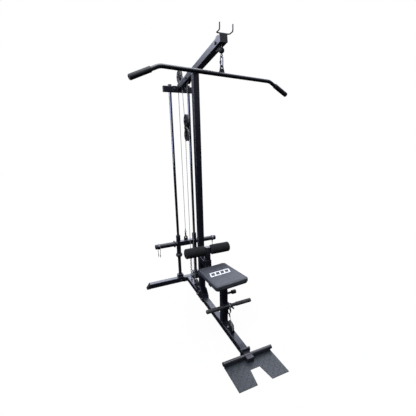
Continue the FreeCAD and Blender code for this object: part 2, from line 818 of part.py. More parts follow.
def lat_bar_tube():
    parts = []
    ang = math.atan2(lat_drop, lat_reach - lat_straight)
    bend = 90.0
    t = bend * math.tan(ang / 2)
    edges = []
    ends = {}
    for sx in (-1, 1):
        u = V(sx * math.cos(ang), 0, -math.sin(ang))
        k = V(sx * lat_straight, lat_y, lat_z)
        p0 = k.sub(V(sx * t, 0, 0))
        p1 = k.add(V(u).multiply(t))
        c = V(sx * (lat_straight - t), lat_y, lat_z - bend)
        m = c.add(V(sx * bend * math.sin(ang / 2), 0, bend * math.cos(ang / 2)))
        e = V(sx * lat_reach, lat_y, lat_z - lat_drop)
        e = e.sub(V(u).multiply(4))
        ends[sx] = (p0, m, p1, e, u)
    a = ends[-1]
    b = ends[1]
    edges.append(Part.LineSegment(a[3], a[2]).toShape())
    edges.append(Part.Arc(a[2], a[1], a[0]).toShape())
    edges.append(Part.LineSegment(a[0], b[0]).toShape())
    edges.append(Part.Arc(b[0], b[1], b[2]).toShape())
    edges.append(Part.LineSegment(b[2], b[3]).toShape())
    path = Part.Wire(edges)
    prof = Part.Wire(Part.makeCircle(bar_r, a[3], V(a[4]).multiply(-1)))
    parts.append(path.makePipeShell([prof], True, True))
    pts = [V(-22, lat_y - 3, lat_z + 9), V(22, lat_y - 3, lat_z + 9), V(10, lat_y - 3, lat_z + 48)]
    pts += [V(-10, lat_y - 3, lat_z + 48), V(-22, lat_y - 3, lat_z + 9)]
    lug = Part.Face(Part.makePolygon(pts)).extrude(V(0, 6, 0))
    lug = lug.fuse(rod(V(0, lat_y - 3, lat_z + 44), V(0, lat_y + 3, lat_z + 44), 12))
    lug = lug.cut(rod(V(0, lat_y - 10, lat_z + 41), V(0, lat_y + 10, lat_z + 41), 7.5))
    parts.append(lug)
    return turned(fuse(parts), lat_turn, 0, lat_y)


def lat_bar_grips():
    ang = math.atan2(lat_drop, lat_reach - lat_straight)
    s = []
    for sx in (-1, 1):
        u = V(sx * math.cos(ang), 0, -math.sin(ang))
        e = V(sx * lat_reach, lat_y, lat_z - lat_drop)
        a = e.sub(V(u).multiply(134))
        g = rod(a, e, grip_r)
        g = g.cut(rod(a, e.sub(V(u).multiply(4)), bar_r))
        s.append(g)
    return turned(group(s), lat_turn, 0, lat_y)


def lat_stop_ball():
    b = Part.makeSphere(18, V(0, lat_x_y, ball_z))
    return b.cut(rod(V(0, lat_x_y, 1980), V(0, lat_x_y, 2040), cable_r + 0.05))


def lat_link():
    hole_top = lat_z + 41 + 7.5
    hook_z = hole_top - 4.8 + 30.5
    eye_z = hook_z + 30.5 - 6.6 + 8.5
    cable = rod(V(0, lat_y, ball_z - 24), V(0, lat_y, lat_run_low), cable_r)
    ferrule = rod(V(0, lat_y, eye_z + 8.5), V(0, lat_y, ball_z - 18.5), 5.5)
    ring = Part.makeTorus(8.5, 2.4, V(0, lat_y, eye_z), Y)
    end = turned(fuse([cable, ferrule, ring]), lat_turn, 0, lat_y)
    hook = link_ring(V(0, lat_y, hook_z), Z, Y, 69, 32, 4.0)
    return group([end, turned(hook, lat_turn, 0, lat_y)])


def row_handle_tube():
    bar = rod(V(-row_half + 4, row_y, row_z), V(row_half - 4, row_y, row_z), bar_r)
    sleeves = []
    for sx in (-1, 1):
        a, b = sorted((sx * 10.0, sx * 18.0))
        sleeves.append(rod(V(a, row_y, row_z), V(b, row_y, row_z), 18))
    return fuse([bar] + sleeves)


def row_handle_grips():
    s = []
    for sx in (-1, 1):
        a = V(sx * 60, row_y, row_z)
        b = V(sx * row_half, row_y, row_z)
        g = rod(a, b, 16)
        s.append(g.cut(rod(a, V(sx * (row_half - 4), row_y, row_z), bar_r)))
    return group(s)


def seat_pad():
    # wider at the front than at the back
    f = seat_front_w / 2
    b = seat_back_w / 2
    d = seat_d / 2
    outline = [V(-f, -d, 0), V(f, -d, 0), V(b, d, 0), V(-b, d, 0), V(-f, -d, 0)]
    s = Part.Face(Part.makePolygon(outline)).extrude(V(0, 0, seat_t))
    s = s.makeFillet(30.0, [e for e in s.Edges if abs(e.BoundBox.ZMin - e.BoundBox.ZMax) > 1])
    s = s.makeFillet(9.0, [e for e in s.Edges if abs(e.BoundBox.ZMin - e.BoundBox.ZMax) < 0.01])
    s.translate(V(0, seat_y, seat_top - seat_t))
    return turned(s, seat_turn, 0, seat_y)


def seat_screws():
    out = []
    for sx in (-1, 1):
        for sy in (-1, 1):
            out.append((V(sx * 95, seat_post_y + sy * 34, 413), V(0, 0, -1), 7.0, 4.0))
    return out


def seat_inner_post():
    y = seat_post_y
    post = tube_section(40, 40, 412 - 110, 2.5, 3.0)
    post.translate(V(0, y, 110))
    plate = box(-118, 118, y - 46, y + 46, 413, 420)
    under = box(-60, 60, y - 30, y + 30, 407, 413)
    ends = [box(a, a + 5, y - 20, y + 20, 397, 413) for a in (-118, 113)]
    s = fuse([post, under, plate] + ends)
    for z in (145, 195, 245, 295, 345):
        s = s.cut(rod(V(10, y, z), V(30, y, z), 5.4))
    return cut_all(s, [screw_hole(*a) for a in seat_screws()])


def seat_bolts():
    s = []
    for p, d, g, r in seat_screws():
        low = p.add(V(0, 0, -1.6))
        head = hexagon(low, V(0, 0, -1), 13, 5.5)
        s.append(fuse([rod(p, low, 9), head, rod(p, p.add(V(0, 0, 7)), 4.0)]))
    return group(s)


def pull_pin(p, d, tip, knob_from, knob_to, knob_r):
    # shank from tip to the knob, along d from p (p on the face of the inner post)
    a = p.add(V(d).multiply(tip))
    b = p.add(V(d).multiply(knob_from))
    c = p.add(V(d).multiply(knob_to))
    shank = rod(a, b, 4.9)
    body = rod(b, c, knob_r)
    edges = [e for e in body.Edges if len(e.Vertexes) == 1 or e.Closed]
    body = body.makeFillet(4.0, edges)
    return fuse([shank, body])


def seat_pin():
    return pull_pin(V(20, seat_post_y, 295), X, 0.4, 50.0, 86.0, 16.5)


def roller_pin():
    return pull_pin(V(0, roller_y - 20, 405), V(0, -1, 0), 0.4, 29.0, 55.0, 14.0)


def roller_inner_post():
    y = roller_y
    post = tube_section(40, 40, 578 - 332, 2.5, 3.0)
    post.translate(V(0, y, 332))
    cap = bar_section(40, 40, 5, 3.0)
    cap.translate(V(0, y, 578))
    axle = rod(V(-roller_out - 3, y, roller_z), V(roller_out + 3, y, roller_z), 12.5)
    s = fuse([post, cap, axle])
    ends = []
    for sx in (-1, 1):
        a, b = sorted((sx * (roller_out + 2), sx * (roller_out + 6)))
        ends.append(rod(V(a, y, roller_z), V(b, y, roller_z), 20))
    s = fuse([s] + ends)
    for z in (355, 405, 455, 505):
        s = s.cut(rod(V(0, y - 30, z), V(0, y - 10, z), 5.4))
    return s


def foam_roller(sx):
    a, b = sorted((sx * 27.0, sx * (roller_out + 1.5)))
    s = rod(V(a, roller_y, roller_z), V(b, roller_y, roller_z), roller_r)
    s = s.makeFillet(9.0, [e for e in s.Edges if e.Closed])
    return s.cut(rod(V(a - 1, roller_y, roller_z), V(b + 1, roller_y, roller_z), 12.85))


def bent_rod(a, m, b, bend, r):
    # round rod from a to b with a bend of the given radius at m
    u = m.sub(a).normalize()
    w = b.sub(m).normalize()
    angle = u.getAngle(w)
    t = bend * math.tan(angle / 2)
    p = m.sub(V(u).multiply(t))
    q = m.add(V(w).multiply(t))
    n = u.cross(w).normalize()
    centre = p.add(n.cross(u).multiply(bend))
    face = Part.Face(Part.Wire(Part.makeCircle(r, p, u)))
    return fuse([rod(a, p, r), face.revolve(centre, n, math.degrees(angle)), rod(q, b, r)])


def spring_collar(sx):
    # close-wound turns of sprung wire round the horn; both tails hang down to finger loops
    r = 2.3
    turn_r = horn_r + r + 0.35
    x0 = 288.0
    rounds = []
    for i in range(4):
        circle = Part.makeCircle(r, V(x0 + 4.55 * i, rod_y + turn_r, horn_z), Z)
        rounds.append(Part.Face(Part.Wire(circle)))
    flat = rounds[0].fuse(rounds[1:]).removeSplitter()
    s = flat.revolve(V(0, rod_y, horn_z), X, 360)
    s = s.Solids[0]
    for x, side in ((x0, -1), (x0 + 13.65, 1)):
        y = rod_y + side * turn_r
        b = V(x, y - side * 14, horn_z - 78)
        tail = bent_rod(V(x, y, horn_z - 0.5), V(x, y, horn_z - 18), b, 20.0, 2.1)
        loop = link_ring(V(x, b.y, b.z - 17), Z, Y, 40, 20, r)
        s = s.fuse([tail, loop])
    if sx < 0:
        s = s.mirror(V(0, 0, 0), X)
    return s


def row_link():
    ring_z = row_z + bar_r + 0.2 - 18.8
    hook_z = ring_z - 22 + 6.9 - 23.5
    ring = Part.makeTorus(22, 3.2, V(0, row_y, ring_z), X)
    hook = link_ring(V(0, row_y, hook_z), Z, X, 54, 28, 3.5)
    d = V(0, row_t[0] - row_end[0], row_t[1] - row_end[1]).normalize()
    p = V(0, row_end[0], row_end[1])
    ferrule = rod(p.add(V(d).multiply(7)), p.add(V(d).multiply(22)), 5.0)
    end = fuse([Part.makeTorus(8.0, 2.4, p, X), ferrule])
    return group([ring, hook, end])


def row_run_top():
    d = V(0, row_t[0] - row_end[0], row_t[1] - row_end[1]).normalize()
    q = V(0, row_end[0], row_end[1]).add(V(d).multiply(22))
    return (q.y, q.z)


nodes = {
    "rear_crossbar": rear_crossbar,
    "tube_end_caps": tube_end_caps,
    "base_beam": base_beam,
    "joint_flanges": joint_flanges,
    "foot_bar": foot_bar,
    "foot_plate": foot_plate,
    "upright_post": upright_post,
    "boom": boom,
    "top_crossbeam": top_crossbeam,
    "guide_rods": guide_rods,
    "rod_sockets": rod_sockets,
    "stop_tubes": stop_tubes,
    "rubber_bumpers": bumpers,
    "seat_receiver": seat_receiver,
    "roller_receiver": roller_receiver,
    "post_bushings": post_bushings,
    "bar_hook": bar_hook,
    "pulley_brackets": pulley_brackets,
    "pulley_bolts": pulley_bolts,
    "anchor_chain": anchor_chain,
    "frame_bolts": frame_bolts,
    "cable_fixed": cables_fixed,
    "carriage_frame": carriage_frame,
    "weight_horns": weight_horns,
    "horn_caps": horn_caps,
    "slide_bushings": slide_bushings,
    "carriage_link": carriage_link,
    "block_plates": block_plates,
    "block_bolts": block_bolts,
    "cable_block_arcs": cable_block_arcs,
    "pulley_rear_top": lambda: pulley(rear_c[0], rear_c[1], big_pulley, big_pitch),
    "pulley_mid_top": lambda: pulley(mid_c[0], mid_c[1], small_pulley, small_pitch),
    "pulley_front_top": lambda: pulley(front_c[0], front_c[1], small_pulley, small_pitch),
    "pulley_block_upper": lambda: pulley(up_c[0], up_c[1], big_pulley, big_pitch),
    "pulley_block_lower": lambda: pulley(low_c[0], low_c[1], big_pulley, big_pitch),
    "pulley_low_rear": lambda: pulley(lr_c[0], lr_c[1], small_pulley, small_pitch),
    "pulley_low_front": lambda: pulley(lf_c[0], lf_c[1], small_pulley, small_pitch),
    "lat_stop_ball": lat_stop_ball,
    "lat_link": lat_link,
    "lat_bar_tube": lat_bar_tube,
    "lat_bar_grips": lat_bar_grips,
    "row_link": row_link,
    "row_handle_tube": row_handle_tube,
    "row_handle_grips": row_handle_grips,
    "seat_inner_post": seat_inner_post,
    "seat_pad": seat_pad,
    "seat_bolts": seat_bolts,
    "seat_pin": seat_pin,
    "roller_inner_post": roller_inner_post,
    "foam_roller_left": lambda: foam_roller(-1),
    "foam_roller_right": lambda: foam_roller(1),
    "roller_pin": roller_pin,
    "spring_collar_left": lambda: spring_collar(-1),
    "spring_collar_right": lambda: spring_collar(1),
    "cable_run_carriage": lambda: run_solid(eye_top, a_top),
    "cable_runs_upper": cable_runs_upper,
    "cable_run_anchor": lambda: run_solid((c_y + 104, 323), (c_y + 104, block_low_z)),
    "cable_run_low": lambda: run_solid((c_y, low_pulley_z), (c_y, block_low_z)),
    "cable_run_lat": lambda: run_solid((lat_x_y, lat_run_low), (lat_x_y, front_c[1])),
    "cable_run_row": lambda: run_solid(row_t, row_run_top()),
}

os.makedirs("parts", exist_ok=True)
for name, make in nodes.items():
    shape = make()
    ok = all(s.isValid() for s in shape.Solids) and len(shape.Solids) > 0
    print(name, "solids", len(shape.Solids), "valid", ok, "volume", round(shape.Volume))
    shape.exportStep("parts/" + name + ".step")
print("row tangent", row_t, "a_top", a_top, "b", b_top, b_low)
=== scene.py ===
import json
import math

import bmesh
import bpy
from mathutils import Matrix, Vector


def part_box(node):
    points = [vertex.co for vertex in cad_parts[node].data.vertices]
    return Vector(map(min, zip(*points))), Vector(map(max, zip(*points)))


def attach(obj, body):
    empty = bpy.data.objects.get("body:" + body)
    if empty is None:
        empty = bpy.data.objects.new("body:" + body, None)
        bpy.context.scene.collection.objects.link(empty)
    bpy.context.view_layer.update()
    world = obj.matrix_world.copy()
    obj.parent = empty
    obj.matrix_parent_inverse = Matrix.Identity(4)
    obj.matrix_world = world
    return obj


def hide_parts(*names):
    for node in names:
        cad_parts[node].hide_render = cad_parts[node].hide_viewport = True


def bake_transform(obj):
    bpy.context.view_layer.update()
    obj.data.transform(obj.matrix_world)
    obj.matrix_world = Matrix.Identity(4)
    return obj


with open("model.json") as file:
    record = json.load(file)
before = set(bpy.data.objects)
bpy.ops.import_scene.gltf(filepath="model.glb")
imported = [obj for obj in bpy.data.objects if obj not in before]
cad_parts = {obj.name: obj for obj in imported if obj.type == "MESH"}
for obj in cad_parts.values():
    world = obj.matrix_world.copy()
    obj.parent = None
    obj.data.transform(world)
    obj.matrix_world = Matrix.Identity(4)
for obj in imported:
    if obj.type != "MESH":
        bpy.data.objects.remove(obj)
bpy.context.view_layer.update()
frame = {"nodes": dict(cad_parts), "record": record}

nodes = frame["nodes"]


# ---------------------------------------------------------------- materials

class Mat:
    """A node material on one Principled shader, with helpers for noise, mixes and bump."""

    def __init__(self, name, **constants):
        self.m = bpy.data.materials.new(name)
        self.m.use_nodes = True
        self.t = self.m.node_tree
        self.b = self.t.nodes["Principled BSDF"]
        for key, value in constants.items():
            self.b.inputs[key.replace("_", " ")].default_value = value
        self.coords = self.t.nodes.new("ShaderNodeTexCoord").outputs["Object"]

    def link(self, a, b):
        self.t.links.new(a, b)

    def scaled(self, scale):
        n = self.t.nodes.new("ShaderNodeMapping")
        n.inputs["Scale"].default_value = scale
        self.link(self.coords, n.inputs["Vector"])
        return n.outputs["Vector"]

    def noise(self, scale, detail=2.0, rough=0.5, vector=None):
        n = self.t.nodes.new("ShaderNodeTexNoise")
        n.inputs["Scale"].default_value = scale
        n.inputs["Detail"].default_value = detail
        n.inputs["Roughness"].default_value = rough
        self.link(vector or self.coords, n.inputs["Vector"])
        return n.outputs["Fac"]

    def cells(self, scale, feature="F1", vector=None):
        n = self.t.nodes.new("ShaderNodeTexVoronoi")
        n.feature = feature
        n.inputs["Scale"].default_value = scale
        self.link(vector or self.coords, n.inputs["Vector"])
        return n.outputs["Distance"]

    def bands(self, scale, direction="Z", distortion=0.0):
        n = self.t.nodes.new("ShaderNodeTexWave")
        n.bands_direction = direction
        n.inputs["Scale"].default_value = scale
        n.inputs["Distortion"].default_value = distortion
        self.link(self.coords, n.inputs["Vector"])
        return n.outputs["Fac"]

    def span(self, fac, lo, hi, a=0.0, b=1.0):
        n = self.t.nodes.new("ShaderNodeMapRange")
        for key, value in (("From Min", lo), ("From Max", hi), ("To Min", a), ("To Max", b)):
            n.inputs[key].default_value = value
        self.link(fac, n.inputs["Value"])
        return n.outputs["Result"]

    def maths(self, op, a, b):
        n = self.t.nodes.new("ShaderNodeMath")
        n.operation = op
        for socket, value in zip(n.inputs, (a, b)):
            if isinstance(value, (int, float)):
                socket.default_value = value
            else:
                self.link(value, socket)
        return n.outputs[0]

    def mix(self, fac, a, b):
        n = self.t.nodes.new("ShaderNodeMix")
        n.data_type = "RGBA"
        self.link(fac, n.inputs[0])
        for socket, value in ((n.inputs[6], a), (n.inputs[7], b)):
            if isinstance(value, tuple):
                socket.default_value = (*value, 1.0)
            else:
                self.link(value, socket)
        return n.outputs[2]

    def colour(self, socket):
        self.link(socket, self.b.inputs["Base Color"])

    def rough(self, socket):
        self.link(socket, self.b.inputs["Roughness"])

    def bump(self, *layers, bevel=0.0):
        normal = None
        if bevel:
            n = self.t.nodes.new("ShaderNodeBevel")
            n.samples = 4
            n.inputs["Radius"].default_value = bevel
            normal = n.outputs["Normal"]
        for height, strength, distance in layers:
            n = self.t.nodes.new("ShaderNodeBump")
            n.inputs["Strength"].default_value = strength
            n.inputs["Distance"].default_value = distance
            self.link(height, n.inputs["Height"])
            if normal:
                self.link(normal, n.inputs["Normal"])
            normal = n.outputs["Normal"]
        self.link(normal, self.b.inputs["Normal"])

    def edge_wear(self, base, worn, radius, lo, hi):
        """worn shows along edges, where the bevelled normal leaves the flat one, in patches."""
        bevel = self.t.nodes.new("ShaderNodeBevel")
        bevel.samples = 4
        bevel.inputs["Radius"].default_value = radius
        geometry = self.t.nodes.new("ShaderNodeNewGeometry")
        dot = self.t.nodes.new("ShaderNodeVectorMath")
        dot.operation = "DOT_PRODUCT"
        self.link(bevel.outputs["Normal"], dot.inputs[0])
        self.link(geometry.outputs["Normal"], dot.inputs[1])
        edge = self.span(dot.outputs["Value"], hi, lo)
        patchy = self.span(self.noise(60, 4, 0.65), 0.45, 0.7)
        self.colour(self.mix(self.maths("MULTIPLY", edge, patchy), base, worn))


def powder(name, dark, light, low, high):
    m = Mat(name, Coat_Weight=0.45, Coat_Roughness=0.14)
    cloud = m.span(m.noise(9, 5, 0.6), 0.3, 0.7)
    m.edge_wear(m.mix(cloud, dark, light), (0.055, 0.056, 0.06), 0.0012, 0.80, 0.97)
    speck = m.noise(520, 2, 0.6)
    dust = m.span(m.noise(22, 6, 0.7), 0.35, 0.75, low, high)
    m.rough(dust)
    m.bump((speck, 0.07, 0.0003), (m.noise(120, 2), 0.04, 0.0005), bevel=0.0012)
    return m.m


def metal(name, dark, light, low, high, streak, bevel=0.0005):
    m = Mat(name, Metallic=1.0)
    lines = m.noise(60, 4, 0.7, m.scaled(streak))
    m.colour(m.mix(m.span(lines, 0.3, 0.7), dark, light))
    m.rough(m.span(m.noise(35, 5, 0.65), 0.3, 0.75, low, high))
    m.bump((lines, 0.05, 0.0002), bevel=bevel)
    return m.m


def plastic(name, dark, light, low, high, grain=900, depth=0.16):
    m = Mat(name)
    m.colour(m.mix(m.span(m.noise(14, 4), 0.3, 0.7), dark, light))
    m.rough(m.span(m.noise(80, 3), 0.3, 0.7, low, high))
    m.bump((m.cells(grain), depth, 0.0003), bevel=0.0008)
    return m.m


def foam_material():
    m = Mat("foam_skin", Sheen_Weight=0.02, Sheen_Roughness=0.5, Specular_IOR_Level=0.25)
    pores = m.cells(900)
    m.colour(m.mix(m.span(pores, 0.1, 0.6), (0.0035, 0.0037, 0.0042), (0.0085, 0.0090, 0.0100)))
    m.rough(m.span(m.noise(40, 4), 0.3, 0.7, 0.78, 0.95))
    m.bump((pores, 0.4, 0.0006), (m.noise(60, 4, 0.6), 0.25, 0.002))
    return m.m


def rubber_material():
    m = Mat("black_rubber")
    m.colour(m.mix(m.span(m.noise(50, 4), 0.35, 0.7), (0.009, 0.009, 0.010), (0.020, 0.020, 0.022)))
    m.rough(m.span(m.noise(90, 3), 0.3, 0.7, 0.55, 0.75))
    m.bump((m.noise(700, 2), 0.25, 0.0004))
    return m.m


def vinyl_material():
    m = Mat("seat_vinyl", Coat_Weight=0.10, Coat_Roughness=0.35)
    grain = m.cells(420, "SMOOTH_F1")
    fine = m.noise(1500, 2)
    hue = m.mix(m.span(m.noise(11, 4, 0.6), 0.3, 0.7), (0.019, 0.0215, 0.028), (0.029, 0.0325, 0.041))
    m.colour(m.mix(m.span(grain, 0.05, 0.35), (0.013, 0.014, 0.017), hue))
    m.rough(m.span(m.noise(45, 4, 0.6), 0.3, 0.7, 0.40, 0.54))
    m.bump((grain, 0.35, 0.0006), (fine, 0.15, 0.0002))
    return m.m


def plate_material():
    m = Mat("lozenge_plate_paint", Coat_Weight=0.15, Coat_Roughness=0.34)
    cloud = m.span(m.noise(7, 6, 0.65), 0.3, 0.7)
    paint = m.mix(cloud, (0.0105, 0.0145, 0.0195), (0.018, 0.0235, 0.030))
    m.edge_wear(paint, (0.12, 0.125, 0.13), 0.001, 0.80, 0.97)
    m.rough(m.span(m.noise(30, 6, 0.7), 0.3, 0.75, 0.34, 0.52))
    m.bump((m.noise(260, 3), 0.03, 0.0002), bevel=0.0008)
    return m.m


def cable_material():
    m = Mat("cable_jacket", Coat_Weight=0.3, Coat_Roughness=0.2)
    twist = m.noise(1.0, 1, 0.5, m.scaled((900, 900, 260)))
    m.colour(m.mix(m.span(twist, 0.35, 0.65), (0.16, 0.165, 0.17), (0.34, 0.345, 0.35)))
    m.rough(m.span(m.noise(50, 3), 0.3, 0.7, 0.30, 0.45))
    m.bump((twist, 0.35, 0.0006))
    return m.m


def label_material():
    m = Mat("printed_panel")
    m.colour(m.mix(m.span(m.noise(120, 3), 0.35, 0.7), (0.78, 0.79, 0.80), (0.90, 0.91, 0.92)))
    m.rough(m.span(m.noise(300, 2), 0.3, 0.7, 0.35, 0.5))
    m.bump((m.cells(420, "SMOOTH_F1"), 0.25, 0.0004))
    return m.m


def underside_material():
    m = Mat("seat_underlining")
    weave = m.maths("MULTIPLY", m.bands(260, "X"), m.bands(260, "Y"))
    m.colour(m.mix(weave, (0.008, 0.008, 0.009), (0.024, 0.024, 0.026)))
    m.rough(m.span(m.noise(60, 3), 0.3, 0.7, 0.8, 0.95))
    m.bump((weave, 0.5, 0.0004))
    return m.m


black = powder("satin_powder_coat", (0.0050, 0.0053, 0.0092), (0.0084, 0.0089, 0.0150), 0.24, 0.40)
chrome = metal("polished_chrome", (0.16, 0.165, 0.19), (0.30, 0.31, 0.35), 0.10, 0.22, (40, 40, 0.6))
zinc = metal("zinc_plate", (0.12, 0.12, 0.13), (0.30, 0.30, 0.31), 0.20, 0.38, (14, 14, 14))
cap = plastic("moulded_cap", (0.008, 0.008, 0.009), (0.014, 0.014, 0.016), 0.34, 0.50)
bushing = plastic("nylon_bushing", (0.010, 0.010, 0.011), (0.018, 0.018, 0.020), 0.40, 0.55, 700)
nylon = plastic("nylon_pulley", (0.008, 0.008, 0.009), (0.016, 0.016, 0.018), 0.32, 0.48, 600)
foam = foam_material()
rubber = rubber_material()
grip = plastic("grip_rubber", (0.010, 0.010, 0.012), (0.019, 0.020, 0.022), 0.48, 0.66, 500, 0.3)
vinyl = vinyl_material()
plate = plate_material()
cable = cable_material()
label = label_material()
underside = underside_material()

FINISH = {
    "frame_paint": black,
    "plate_paint": plate,
    "chrome": chrome,
    "zinc": zinc,
    "cap_plastic": cap,
    "bushing_plastic": bushing,
    "pulley_nylon": nylon,
    "rubber": rubber,
    "foam": foam,
    "grip_rubber": grip,
    "vinyl": vinyl,
    "cable": cable,
}
slot_of = {s["node"]: s["material_slot"] for s in frame["record"]["subparts"]}
for name, ob in nodes.items():
    finish = FINISH[slot_of[name]]
    ob.data.materials.clear()
    ob.data.materials.append(finish)


# ---------------------------------------------------------------- mesh helpers

def add_piece(name, bm, material, body, smooth=True, sharp=None):
    mesh = bpy.data.meshes.new(name)
    bmesh.ops.recalc_face_normals(bm, faces=bm.faces)
    bm.to_mesh(mesh)
    bm.free()
    mesh.materials.append(material)
    for p in mesh.polygons:
        p.use_smooth = smooth
    if sharp is not None:
        mesh.set_sharp_from_angle(angle=math.radians(sharp))
    ob = bpy.data.objects.new(name, mesh)
    bpy.context.scene.collection.objects.link(ob)
    if body:
        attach(ob, body)
    return ob


def frame_along(d):
    """Two directions square to d."""
    d = Vector(d).normalized()
    helper = Vector((0, 0, 1)) if abs(d.z) < 0.9 else Vector((1, 0, 0))
    u = d.cross(helper).normalized()
    return u, d.cross(u)


def lathe(bm, profile, origin, axis, segments=48, shape=None):
    """profile is (distance along axis, radius) from end to end; an end of radius 0 is closed."""
    u, v = frame_along(axis)
    axis = Vector(axis).normalized()
    rings = []
    for s, r in profile:
        centre = Vector(origin) + axis * s
        if r <= 1e-7:
            rings.append([bm.verts.new(centre)])
            continue
        ring = []
        for i in range(segments):
            a = 2 * math.pi * i / segments
            rr = r * (shape(a, s) if shape else 1.0)
            ring.append(bm.verts.new(centre + u * (rr * math.cos(a)) + v * (rr * math.sin(a))))
        rings.append(ring)
    for a, b in zip(rings, rings[1:]):
        for i in range(segments):
            j = (i + 1) % segments
            if len(a) == 1:
                bm.faces.new((a[0], b[i], b[j]))
            elif len(b) == 1:
                bm.faces.new((a[i], a[j], b[0]))
            else:
                bm.faces.new((a[i], a[j], b[j], b[i]))
    return rings


def tube(bm, points, radius, segments=10, closed=False, ripple=None):
    """Round tube along a polyline; ripple scales the radius at each point."""
    count = len(points)
    rings = []
    for i, p in enumerate(points):
        before = points[i - 1] if (closed or i > 0) else points[i]
        after = points[(i + 1) % count] if (closed or i < count - 1) else points[i]
        u, v = frame_along(Vector(after) - Vector(before))
        r = radius * (ripple[i] if ripple else 1.0)
        ring = []
        for k in range(segments):
            a = 2 * math.pi * k / segments
            ring.append(bm.verts.new(Vector(p) + u * (r * math.cos(a)) + v * (r * math.sin(a))))
        rings.append(ring)
    pairs = list(zip(rings, rings[1:])) + ([(rings[-1], rings[0])] if closed else [])
    for a, b in pairs:
        # neighbouring rings may start at different places, so the nearest start is matched
        shift = min(range(segments), key=lambda k: (a[0].co - b[k].co).length)
        after_gap = (a[1].co - b[(shift + 1) % segments].co).length
        before_gap = (a[1].co - b[(shift - 1) % segments].co).length
        step = -1 if after_gap > before_gap else 1
        for k in range(segments):
            bm.faces.new((a[k], a[(k + 1) % segments],
                          b[(shift + step * (k + 1)) % segments], b[(shift + step * k) % segments]))
    if not closed:
        bm.faces.new(rings[0])
        bm.faces.new(rings[-1])


PER_RIPPLE = 4    # rings of the bead in one ripple


def weld_bead(bm, points, radius, closed=True, step=0.0032):
    """A row of overlapping weld ripples, step long, along a path."""
    line = [Vector(p) for p in points]
    if closed:
        line.append(line[0])
    out = []
    for a, b in zip(line, line[1:]):
        n = max(1, round((b - a).length / (step / PER_RIPPLE)))
        out += [a.lerp(b, i / n) for i in range(n)]
    if not closed:
        out.append(line[-1])
    if closed:
        out = out[:len(out) // PER_RIPPLE * PER_RIPPLE]
    ripple = [0.86 + 0.14 * abs(math.sin(math.pi * i / PER_RIPPLE)) + 0.05 * math.sin(1.7 * i * 0.31)
              for i in range(len(out))]
    tube(bm, out, radius, 8, closed, ripple)


def rectangle(centre, u, v, half_u, half_v, corner=0.0045):
    """Rounded rectangle of points in the plane of u and v."""
    points = []
    for k, (su, sv) in enumerate(((1, 1), (-1, 1), (-1, -1), (1, -1))):
        c = (Vector(centre) + Vector(u) * (su * (half_u - corner))
             + Vector(v) * (sv * (half_v - corner)))
        for i in range(4):
            a = math.pi / 2 * (k + i / 3)
            points.append(c + Vector(u) * (corner * math.cos(a)) + Vector(v) * (corner * math.sin(a)))
    return points


def circle(centre, axis, radius, count=40):
    u, v = frame_along(axis)
    return [Vector(centre) + u * (radius * math.cos(2 * math.pi * i / count))
            + v * (radius * math.sin(2 * math.pi * i / count)) for i in range(count)]


def add_box(bm, lo, hi, bevel=0.0):
    size = Vector(hi) - Vector(lo)
    place = Matrix.Translation((Vector(lo) + Vector(hi)) / 2) @ Matrix.Diagonal((*size, 1.0))
    made = bmesh.ops.create_cube(bm, size=1.0, matrix=place)
    if bevel:
        edges = list({e for v in made["verts"] for e in v.link_edges})
        bmesh.ops.bevel(bm, geom=edges, offset=bevel, segments=3, profile=0.5, affect="EDGES")


# ---------------------------------------------------------------- cables

CABLE_R = 0.00246
CABLE_ROW = 0.006     # length of one row of faces
CABLE_LAY = 0.05      # length in which the strands turn once
STRANDS = 6           # outer strands that show through the jacket
SIDES = 24


def cable_run(name, a, b, body_a, body_b, *replaced):
    """Cable from a to b, strands showing through its jacket. body_a and body_b are not used."""
    a, b = Vector(a), Vector(b)
    bm = bmesh.new()
    u, v = frame_along(b - a)
    length = (b - a).length
    rows = max(24, int(length / CABLE_ROW))
    rings = []
    for i in range(rows + 1):
        c = a.lerp(b, i / rows)
        turn = 2 * math.pi * length * i / rows / CABLE_LAY
        ring = []
        for k in range(SIDES):
            t = 2 * math.pi * k / SIDES
            r = CABLE_R * (1 + 0.035 * math.cos(STRANDS * t + turn))
            ring.append(bm.verts.new(c + u * (r * math.cos(t)) + v * (r * math.sin(t))))
        rings.append(ring)
    for p, q in zip(rings, rings[1:]):
        for k in range(SIDES):
            bm.faces.new((p[k], p[(k + 1) % SIDES], q[(k + 1) % SIDES], q[k]))
    bm.faces.new(rings[0])
    bm.faces.new(rings[-1])
    ob = add_piece(name, bm, cable, None)
    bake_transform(ob)
    if replaced:
        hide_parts(*replaced)


def run_ends(pts):
    """Middle of the lowest and of the highest slice of a straight run."""
    lo, hi = min(p.z for p in pts), max(p.z for p in pts)
    low = [p for p in pts if p.z < lo + CABLE_ROW]
    high = [p for p in pts if p.z > hi - CABLE_ROW]
    return sum(low, Vector()) / len(low), sum(high, Vector()) / len(high)


def node_points(node):
    return [v.co.copy() for v in nodes[node].data.vertices]


def ends(node):
    return run_ends(node_points(node))


def split_runs(node, y):
    """The same for a node with two runs, one each side of y."""
    return [run_ends([p for p in node_points(node) if (p.y - y) * side > 0]) for side in (-1, 1)]


BLOCK_Y = 0.25    # the floating block hangs between its two cables

